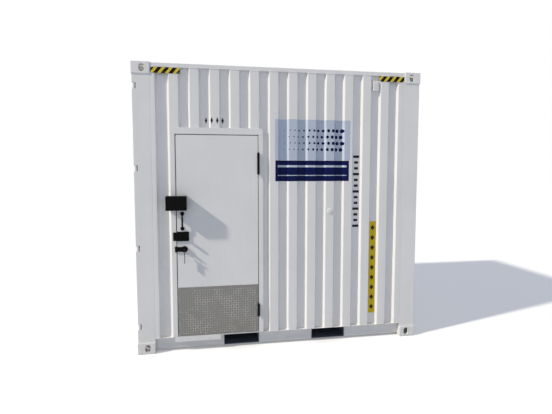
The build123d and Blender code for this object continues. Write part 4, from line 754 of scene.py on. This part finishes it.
sheet_paths = []
for low, high, foot in front_spans:
    span = clipped(wall_line, low, high)
    sheet_paths += [on_front(line_path(span, level)) for level in (foot, front_high.z)]
sheet_paths += [on_rear(line_path(wall_line, level)) for level in (rear_low.z, rear_high.z)]
sheet_paths += [on_end(line_path(end_line, level)) for level in (end_low.z, end_high.z)]
sheet_paths += [on_roof(line_path(roof_line, level)) for level in (roof_low.y, roof_high.y)]
points, faces = beads(sheet_paths, SHEET_BEAD)
piece("sheet_welds", points, faces, "container", "white_paint")

post_paths = []
for posts, outer, depth in (("door_end_posts", 0, DOOR_POST_DEPTH), ("blind_end_posts", 1, BLIND_POST_DEPTH)):
    low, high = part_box(posts)
    edges = (low.x, high.x)
    for level in (low.z, high.z):
        for face, inward in ((low.y, 1), (high.y, -1)):
            post_paths.append([
                (edges[1 - outer], face, level),
                (edges[outer], face, level),
                (edges[outer], face + inward * depth, level),
            ])
points, faces = beads(post_paths, POST_BEAD)
piece("post_welds", points, faces, "container", "white_paint")


# Raised lozenges and screws of the kick plate

LOZENGE_PITCH = 0.0245
LOZENGE_LENGTH = 0.0110
LOZENGE_WIDTH = 0.0040
LOZENGE_HEIGHT = 0.0018
LOZENGE_SINK = 0.0002
LOZENGE_GRID = (7, 5)
PLATE_MARGIN_LOW = 0.020
PLATE_MARGIN_HIGH = 0.015
PLATE_SCREW = (0.0045, 0.0016)
PLATE_SCREW_INSET = 0.008
PLATE_SCREW_COLUMNS = 7
PLATE_SCREW_ROWS = 5

kick_low, kick_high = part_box("kick_plate")


def raised_mark():
    """Lens of half length and half width, u along and v across from minus one to one.

    Its edge draws in as one less u squared, and its height is the root of one less u squared, times
    one less v squared. It is sunk a little so that it meets the plate.
    """
    u = np.linspace(-1, 1, LOZENGE_GRID[0])[:, None]
    v = np.linspace(-1, 1, LOZENGE_GRID[1])[None, :]
    along = LOZENGE_LENGTH * u + 0 * v
    out = -LOZENGE_HEIGHT * np.sqrt(1 - u ** 2) * (1 - v ** 2) + LOZENGE_SINK
    across = LOZENGE_WIDTH * (1 - u ** 2) * v
    return np.stack([along, out, across], axis=-1), grid_faces(*LOZENGE_GRID)[:, ::-1]


columns = np.arange(kick_low.x + PLATE_MARGIN_LOW, kick_high.x - PLATE_MARGIN_HIGH, LOZENGE_PITCH)
rows = np.arange(kick_low.z + PLATE_MARGIN_LOW, kick_high.z - PLATE_MARGIN_HIGH, LOZENGE_PITCH)
across, up = (axis.ravel() for axis in np.meshgrid(columns, rows))
odd = np.add.outer(np.arange(len(rows)), np.arange(len(columns))).ravel() % 2
places = np.stack([across, np.full_like(across, kick_low.y), up], axis=1)
points, faces = copies(*raised_mark(), places, np.where(odd, 1, -1) * pi / 4)
# The raised tops carry a painted highlight: lightened patches that stand for glints
checker_tops_painted_glint = plate_metal("checker_tops_painted_glint", bright=0.8)
piece("kick_plate_lozenges", points, faces, "personnel_door", "checker_plate", checker_tops_painted_glint)

screw_x = np.linspace(kick_low.x + PLATE_SCREW_INSET, kick_high.x - PLATE_SCREW_INSET, PLATE_SCREW_COLUMNS)
screw_z = np.linspace(kick_low.z + PLATE_SCREW_INSET, kick_high.z - PLATE_SCREW_INSET, PLATE_SCREW_ROWS)
rim = [(x, kick_low.y, z) for x in screw_x for z in (screw_z[0], screw_z[-1])]
rim += [(x, kick_low.y, z) for x in (screw_x[0], screw_x[-1]) for z in screw_z[1:-1]]
piece("kick_plate_screws", *copies(*dome(*PLATE_SCREW), rim), "personnel_door", "zinc")


# Fixings on the door gear: heads as radius and height, and their places on each part

GEAR_SCREW = (0.0042, 0.0016)
CASE_INSET_X = 0.012
CASE_INSET_Z = 0.010
LATCH_INSET = 0.012
LATCH_SPREAD = 0.016
ROSE_INSET = 0.020
ROSE_SPREAD = 0.0145
ROSE_BACK = 0.037
KEEPER_DROPS = (0.012, 0.070)
KNOB_DOME = (0.0055, 0.0012)
KNOB_SIDES = 16
FINIAL_PROFILE = (
    (0.0118, 0.0),
    (0.0122, 0.002),
    (0.0075, 0.0034),
    (0.0085, 0.0065),
    (0.0065, 0.0105),
    (0.0012, 0.0120),
)
FINIAL_SIDES = 14
HINGE_RADIUS = 0.012
LOWER_HINGE_TOP = 0.460
HINGE_FEET = (0.340, 1.818)

case_low, case_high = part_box("rim_lock_case")
latch_low, latch_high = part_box("latch_case")
keeper_low, keeper_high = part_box("lock_keepers")
pull_low, pull_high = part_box("pull_handles")
case_x = (case_low.x + CASE_INSET_X, case_high.x - CASE_INSET_X)
case_z = (case_low.z + CASE_INSET_Z, case_high.z - CASE_INSET_Z)
latch_x = latch_low.x + LATCH_INSET
latch_z = (latch_low.z + latch_high.z) / 2
pull_x = (pull_low.x + pull_high.x) / 2
rose_y = pull_low.y + ROSE_BACK
lock_screws = [(x, case_low.y, z) for x in case_x for z in case_z]
lock_screws += [(latch_x, latch_low.y, latch_z + LATCH_SPREAD * side) for side in (-1, 1)]
for level in (pull_low.z + ROSE_INSET, pull_high.z - ROSE_INSET):
    lock_screws += [(pull_x + ROSE_SPREAD * side, rose_y, level) for side in (-1, 1)]
piece("lock_screws", *copies(*dome(*GEAR_SCREW), lock_screws), "personnel_door", "black_paint")
keeper_x = (keeper_low.x + keeper_high.x) / 2
keeper_screws = [(keeper_x, keeper_low.y, keeper_high.z - drop) for drop in KEEPER_DROPS]
piece("keeper_screws", *copies(*dome(*GEAR_SCREW), keeper_screws), "container", "black_paint")

knob_low, knob_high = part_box("turn_knob")
knob_middle = ((knob_low.x + knob_high.x) / 2, knob_low.y, (knob_low.z + knob_high.z) / 2)
piece("knob_end", *copies(*dome(*KNOB_DOME, KNOB_SIDES), [knob_middle]), "turn_knob", "black_paint")

hinge_low, hinge_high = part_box("hinge_door_halves")
hinge_axis = (hinge_low.x + HINGE_RADIUS, hinge_low.y + HINGE_RADIUS)
finial, finial_faces = turned(FINIAL_PROFILE, FINIAL_SIDES)
finial = upright(finial)
hinge_tops = [(*hinge_axis, level) for level in (LOWER_HINGE_TOP, hinge_high.z)]
points, faces = copies(finial, finial_faces[:, ::-1], hinge_tops)
piece("hinge_caps", points, faces, "personnel_door", "black_paint")
hinge_feet = [(*hinge_axis, level) for level in HINGE_FEET]
points, faces = copies(finial * (1, 1, -1), finial_faces, hinge_feet)
piece("hinge_feet", points, faces, "container", "black_paint")


# Rivets of the marking plates, slats of the ventilators and the sealant round the pipe cap

RIVET = (0.0042, 0.0022)
RIVET_REACH = (1.0415, 1.3015)
RIVET_COLUMNS = 3
RIVET_INSET = 0.007
SLAT_INSET = 0.026
SLAT_COUNT = 4
SLAT_HALF = 0.020
SLAT_STEP = 0.005
SLAT_RADIUS = 0.0032
SLAT_SIDES = 8
SEAL_RING = 0.0265
SEAL_POINTS = 41
SEAL_SINK = 0.001
SEAL_RADIUS = 0.0035
SEAL_SIDES = 6
SEAL_RIPPLE = 0.15

plate_low, plate_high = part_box("marking_plates")
rivet_z = (plate_low.z + RIVET_INSET, plate_high.z - RIVET_INSET)
rivets = []
for side in (-1, 1):
    for x in np.linspace(*RIVET_REACH, RIVET_COLUMNS):
        rivets += [(side * x, plate_low.y, z) for z in rivet_z]
points, faces = mirrored(*copies(*dome(*RIVET), rivets))
piece("plate_rivets", points, faces, "container", "zinc")

vent_low, vent_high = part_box("vent_covers")
vent_x = (vent_low.x + vent_high.x) / 2
slats = []
for level in np.linspace(vent_low.z + SLAT_INSET, vent_high.z - SLAT_INSET, SLAT_COUNT):
    slats.append([(vent_x - SLAT_HALF, vent_low.y, level), (vent_x + SLAT_HALF, vent_low.y, level)])
slat_tubes = [tube(resampled(path, SLAT_STEP), SLAT_RADIUS, SLAT_SIDES) for path in slats]
points, faces = mirrored(*joined(slat_tubes))
piece("vent_slats", points, faces, "container", "white_paint")

cap_low, cap_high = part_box("pipe_cap")
turn = np.linspace(0, 2 * pi, SEAL_POINTS)
ring = np.stack([
    (cap_low.x + cap_high.x) / 2 + SEAL_RING * np.cos(turn),
    np.full_like(turn, cap_high.y - SEAL_SINK),
    (cap_low.z + cap_high.z) / 2 + SEAL_RING * np.sin(turn),
], axis=1)
points, faces = tube(ring, SEAL_RADIUS, SEAL_SIDES, SEAL_RIPPLE)
piece("cap_seal", points, faces, "container", "white_paint")


# Bolts of the cargo gear: two in each rod guide and two in each hinge strap

CARGO_BOLT = (0.0085, 0.006)
ROD_PLACES = (0.870, 0.300)
GUIDE_LEVELS = (0.231, 0.7493, 1.7022, 2.697)
GUIDE_SPREAD = 0.032
GUIDE_BASE = 0.006
STRAP_LEVELS = (0.283, 1.077, 1.871, 2.665)
STRAP_RISE = 0.006
STRAP_BOLT = 1.020
STRAP_STEP = 0.060

for side, name in ((-1, "front"), (1, "rear")):
    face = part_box("rod_guides_" + name)[1].x - GUIDE_BASE
    bolts = []
    for rod in ROD_PLACES:
        for level in GUIDE_LEVELS:
            bolts += [(face, side * rod + GUIDE_SPREAD * way, level) for way in (-1, 1)]
    for level in STRAP_LEVELS:
        bolts += [(face - STRAP_RISE, side * (STRAP_BOLT + STRAP_STEP * step), level) for step in (0, 1)]
    head, head_faces = hexagon(*CARGO_BOLT)
    points, faces = copies(to_end(head), head_faces, bolts)
    piece("cargo_bolts_" + name, points, faces, "cargo_door_" + name, "zinc", smooth=False)


# Plain printed films on the door side: patches that follow the pressed sheet

FILM = 0.0006
FILM_SPECULAR = 0.06
FILM_STEP = 0.012
FILM_RISE = 0.05
FILM_TIP = 0.002
NAVY = (0.0055, 0.0105, 0.070, 1)
PALE = (0.56, 0.62, 0.72, 1)
INK = (0.022, 0.023, 0.027, 1)
STRIP_YELLOW = (0.73, 0.53, 0.024, 1)
STRIP_BROWN = (0.06, 0.038, 0.012, 1)


def bar(u):
    """Outline of full height all along."""
    return np.ones_like(u)


def lozenge(u):
    """Outline that falls in a straight line from the middle to both tips."""
    return 1 - np.abs(u)


def disc(u):
    """Outline of a circle: the root of one less u squared."""
    return np.sqrt(1 - u ** 2)


def patch(middle, half, outline, lift):
    """Patch on the door-side sheet: its half height at each place along X is the outline's value."""
    low, high = middle[0] - half[0], middle[0] + half[0]
    bends = wall_line[(wall_line[:, 0] > low) & (wall_line[:, 0] < high), 0]
    count = max(9, int(2 * half[0] / FILM_STEP))
    along = np.unique(np.concatenate([np.linspace(low, high, count), bends]))
    rise = np.linspace(-1, 1, max(3, int(2 * half[1] / FILM_RISE)))
    x = np.broadcast_to(along[:, None], (len(along), len(rise)))
    share = np.clip((x - middle[0]) / half[0], -1, 1)
    z = middle[1] + half[1] * rise[None, :] * np.maximum(outline(share), FILM_TIP)
    foot = frame_high.z if frame_low.x < middle[0] < frame_high.x else front_low.z
    inward = np.interp(x, wall_line[:, 0], wall_line[:, 1])
    y = front_low.y + inward + swell(x, z, foot, front_high.z, WALL_WAVE) - lift
    return np.stack([x, y, z], axis=-1), grid_faces(len(along), len(rise))[:, ::-1]


def film(name, middles, halves, outline, colour, lift=FILM):
    """One film colour laid in several patches, each with its middle and half size in X and Z."""
    print_ink = moulded(name, colour, roughness=0.34, grain=300.0)
    print_ink.node_tree.nodes["Principled BSDF"].inputs["Specular IOR Level"].default_value = FILM_SPECULAR
    points, faces = joined([patch(middle, half, outline, lift) for middle, half in zip(middles, halves)])
    piece(name, points, faces, "container", "white_paint", print_ink)


def stacked(x, foot, rise, count):
    """Middles of patches one above another."""
    return [(x, foot + rise * step) for step in range(count)]


PANEL_MIDDLE = (0.3125, 2.1675)
PANEL_HALF = (0.4025, 0.2075)
film("film_pale_panel", [PANEL_MIDDLE], [PANEL_HALF], bar, PALE)

BAND_MIDDLE = (0.3085, 1.8475)
BAND_HALF = (0.3965, 0.1075)
film("film_navy_band", [BAND_MIDDLE], [BAND_HALF], bar, NAVY)

# Dots in staggered rows, which grow from left to right
DOT_COLUMNS = 13
DOT_ROWS = 4
DOT_LEFT = 0.005
DOT_SPAN = 0.615
DOT_STAGGER = 0.012
DOT_FOOT = 2.070
DOT_RISE = 0.065
DOT_SMALLEST = 0.004
DOT_GROWTH = 0.016
dot_grid = np.meshgrid(np.linspace(0, 1, DOT_COLUMNS), np.arange(DOT_ROWS))
dot_share, dot_row = (axis.ravel() for axis in dot_grid)
dot_x = DOT_LEFT + DOT_SPAN * dot_share + DOT_STAGGER * (dot_row % 2)
dot_middles = np.stack([dot_x, DOT_FOOT + DOT_RISE * dot_row], axis=1)
dot_radius = DOT_SMALLEST + DOT_GROWTH * dot_share
dot_halves = np.stack([dot_radius, dot_radius], axis=1)
film("film_navy_dots", dot_middles, dot_halves, disc, NAVY, 2 * FILM)

LINE_MIDDLES = ((0.3085, 1.800), (0.3085, 1.895))
LINE_HALVES = ((0.37, 0.004), (0.37, 0.011))
film("film_pale_lines", LINE_MIDDLES, LINE_HALVES, bar, PALE, 2 * FILM)

SIGN_COUNT = 4
SIGN_LEFT = -0.786
SIGN_PITCH = 0.055
SIGN_LEVEL = 2.348
SIGN_HALF = (0.012, 0.034)
sign_middles = [(SIGN_LEFT + SIGN_PITCH * step, SIGN_LEVEL) for step in range(SIGN_COUNT)]
film("film_sign_lozenges", sign_middles, [SIGN_HALF] * SIGN_COUNT, lozenge, INK)

# A ladder of ticks, every third one longer
TICK_COUNT = 13
TICK_LONG_EVERY = 3
TICK_X = 0.7975
TICK_FOOT = 1.255
TICK_RISE = 0.062
TICK_SHORT = (0.022, 0.013)
TICK_LONG = (0.034, 0.013)
tick_halves = [TICK_SHORT if step % TICK_LONG_EVERY else TICK_LONG for step in range(TICK_COUNT)]
film("film_dark_ticks", stacked(TICK_X, TICK_FOOT, TICK_RISE, TICK_COUNT), tick_halves, bar, INK)

STRIP_MIDDLE = (0.9966, 0.790)
STRIP_HALF = (0.036, 0.510)
film("film_yellow_strip", [STRIP_MIDDLE], [STRIP_HALF], bar, STRIP_YELLOW)

MARK_COUNT = 9
MARK_FOOT = 0.350
MARK_RISE = 0.110
MARK_HALF = (0.024, 0.030)
mark_middles = stacked(STRIP_MIDDLE[0], MARK_FOOT, MARK_RISE, MARK_COUNT)
film("film_brown_lozenges", mark_middles, [MARK_HALF] * MARK_COUNT, lozenge, STRIP_BROWN, 2 * FILM)

soften(("corner_castings",), CASTING_EDGE)
soften(("door_end_posts", "blind_end_posts", "door_frame", "top_side_rails"), FRAME_EDGE)
soften(("lock_box", "door_leaf", "kick_plate", "door_sill", "lock_keepers"), DOOR_EDGE)


# Camera, light and floor; the surroundings show white, and light the part with a dimmer, bluer fill

CAMERA_PLACE = (-0.8783, -5.6379, 1.8358)
CAMERA_YAW = 10.21
CAMERA_PITCH = 4.60
CAMERA_LENS = 28.384
CAMERA_SENSOR = 36.0
SUN_TRAVEL = (3.15, 1.0, -2.44)
SUN_ENERGY = 3.05
SUN_SPREAD = 2.5
SUN_COLOUR = (1.0, 0.94, 0.83)
SKY_TRAVEL = (0.15, 1.0, -0.20)
SKY_ENERGY = 0.34
SKY_SPREAD = 60.0
SKY_COLOUR = (0.99, 0.99, 1.0)
FILL_LIGHT = (0.206, 0.238, 0.312, 1)
SEEN_WHITE = (1, 1, 1, 1)
FLOOR_REACH = 40.0
FLOOR_BOUNCE = (0.50, 0.54, 0.61, 1)
FLOOR_DIM = (0.93, 0.93, 0.93, 1)
FLOOR_PALE = (0.95, 0.95, 0.95, 1)
FLOOR_GLOW = 0.24
FLOOR_ROUGHNESS = 0.9

camera_data = bpy.data.cameras.new("camera")
camera_data.sensor_fit = "HORIZONTAL"
camera_data.sensor_width = CAMERA_SENSOR
camera_data.lens = CAMERA_LENS
camera = bpy.data.objects.new("camera", camera_data)
camera.location = CAMERA_PLACE
camera.rotation_euler = (radians(90 - CAMERA_PITCH), 0, radians(-CAMERA_YAW))
scene.collection.objects.link(camera)
scene.camera = camera


def far_lamp(name, travel, energy, spread, colour):
    """A distant lamp that shines along a direction; a wide spread in degrees softens its shadows."""
    data = bpy.data.lights.new(name, "SUN")
    data.energy = energy
    data.angle = radians(spread)
    data.color = colour
    lamp = bpy.data.objects.new(name, data)
    lamp.rotation_euler = Vector(travel).to_track_quat("-Z", "Y").to_euler()
    scene.collection.objects.link(lamp)


far_lamp("sun", SUN_TRAVEL, SUN_ENERGY, SUN_SPREAD, SUN_COLOUR)
far_lamp("bright_sky", SKY_TRAVEL, SKY_ENERGY, SKY_SPREAD, SKY_COLOUR)

world = bpy.data.worlds.new("studio")
scene.world = world
world.use_nodes = True
world_tree = world.node_tree
background = world_tree.nodes["Background"]
feed(world_tree, background, Color=mixed(world_tree, surroundings(world_tree), FILL_LIGHT, SEEN_WHITE))
background.inputs["Strength"].default_value = 1.0

floor_mesh = bpy.data.meshes.new("floor")
floor_corners = [(FLOOR_REACH * x, FLOOR_REACH * y, 0) for x, y in ((-1, -1), (1, -1), (1, 1), (-1, 1))]
floor_mesh.from_pydata(floor_corners, [], [(0, 1, 2, 3)])
floor = bpy.data.objects.new("floor", floor_mesh)
scene.collection.objects.link(floor)
floor_material, floor_tree, floor_shader, floor_position = started("floor")
floor_seen = surroundings(floor_tree)
floor_tint = mixed(floor_tree, noise(floor_tree, floor_position, 1.2, 3.0), FLOOR_DIM, FLOOR_PALE)
floor_colour = mixed(floor_tree, floor_seen, FLOOR_BOUNCE, floor_tint)
floor_glow = product(floor_tree, floor_seen, FLOOR_GLOW)
feed(floor_tree, floor_shader, Base_Color=floor_colour, Emission_Strength=floor_glow)
floor_shader.inputs["Emission Color"].default_value = SEEN_WHITE
floor_shader.inputs["Roughness"].default_value = FLOOR_ROUGHNESS
floor_mesh.materials.append(floor_material)

scene.view_settings.view_transform = "Standard"
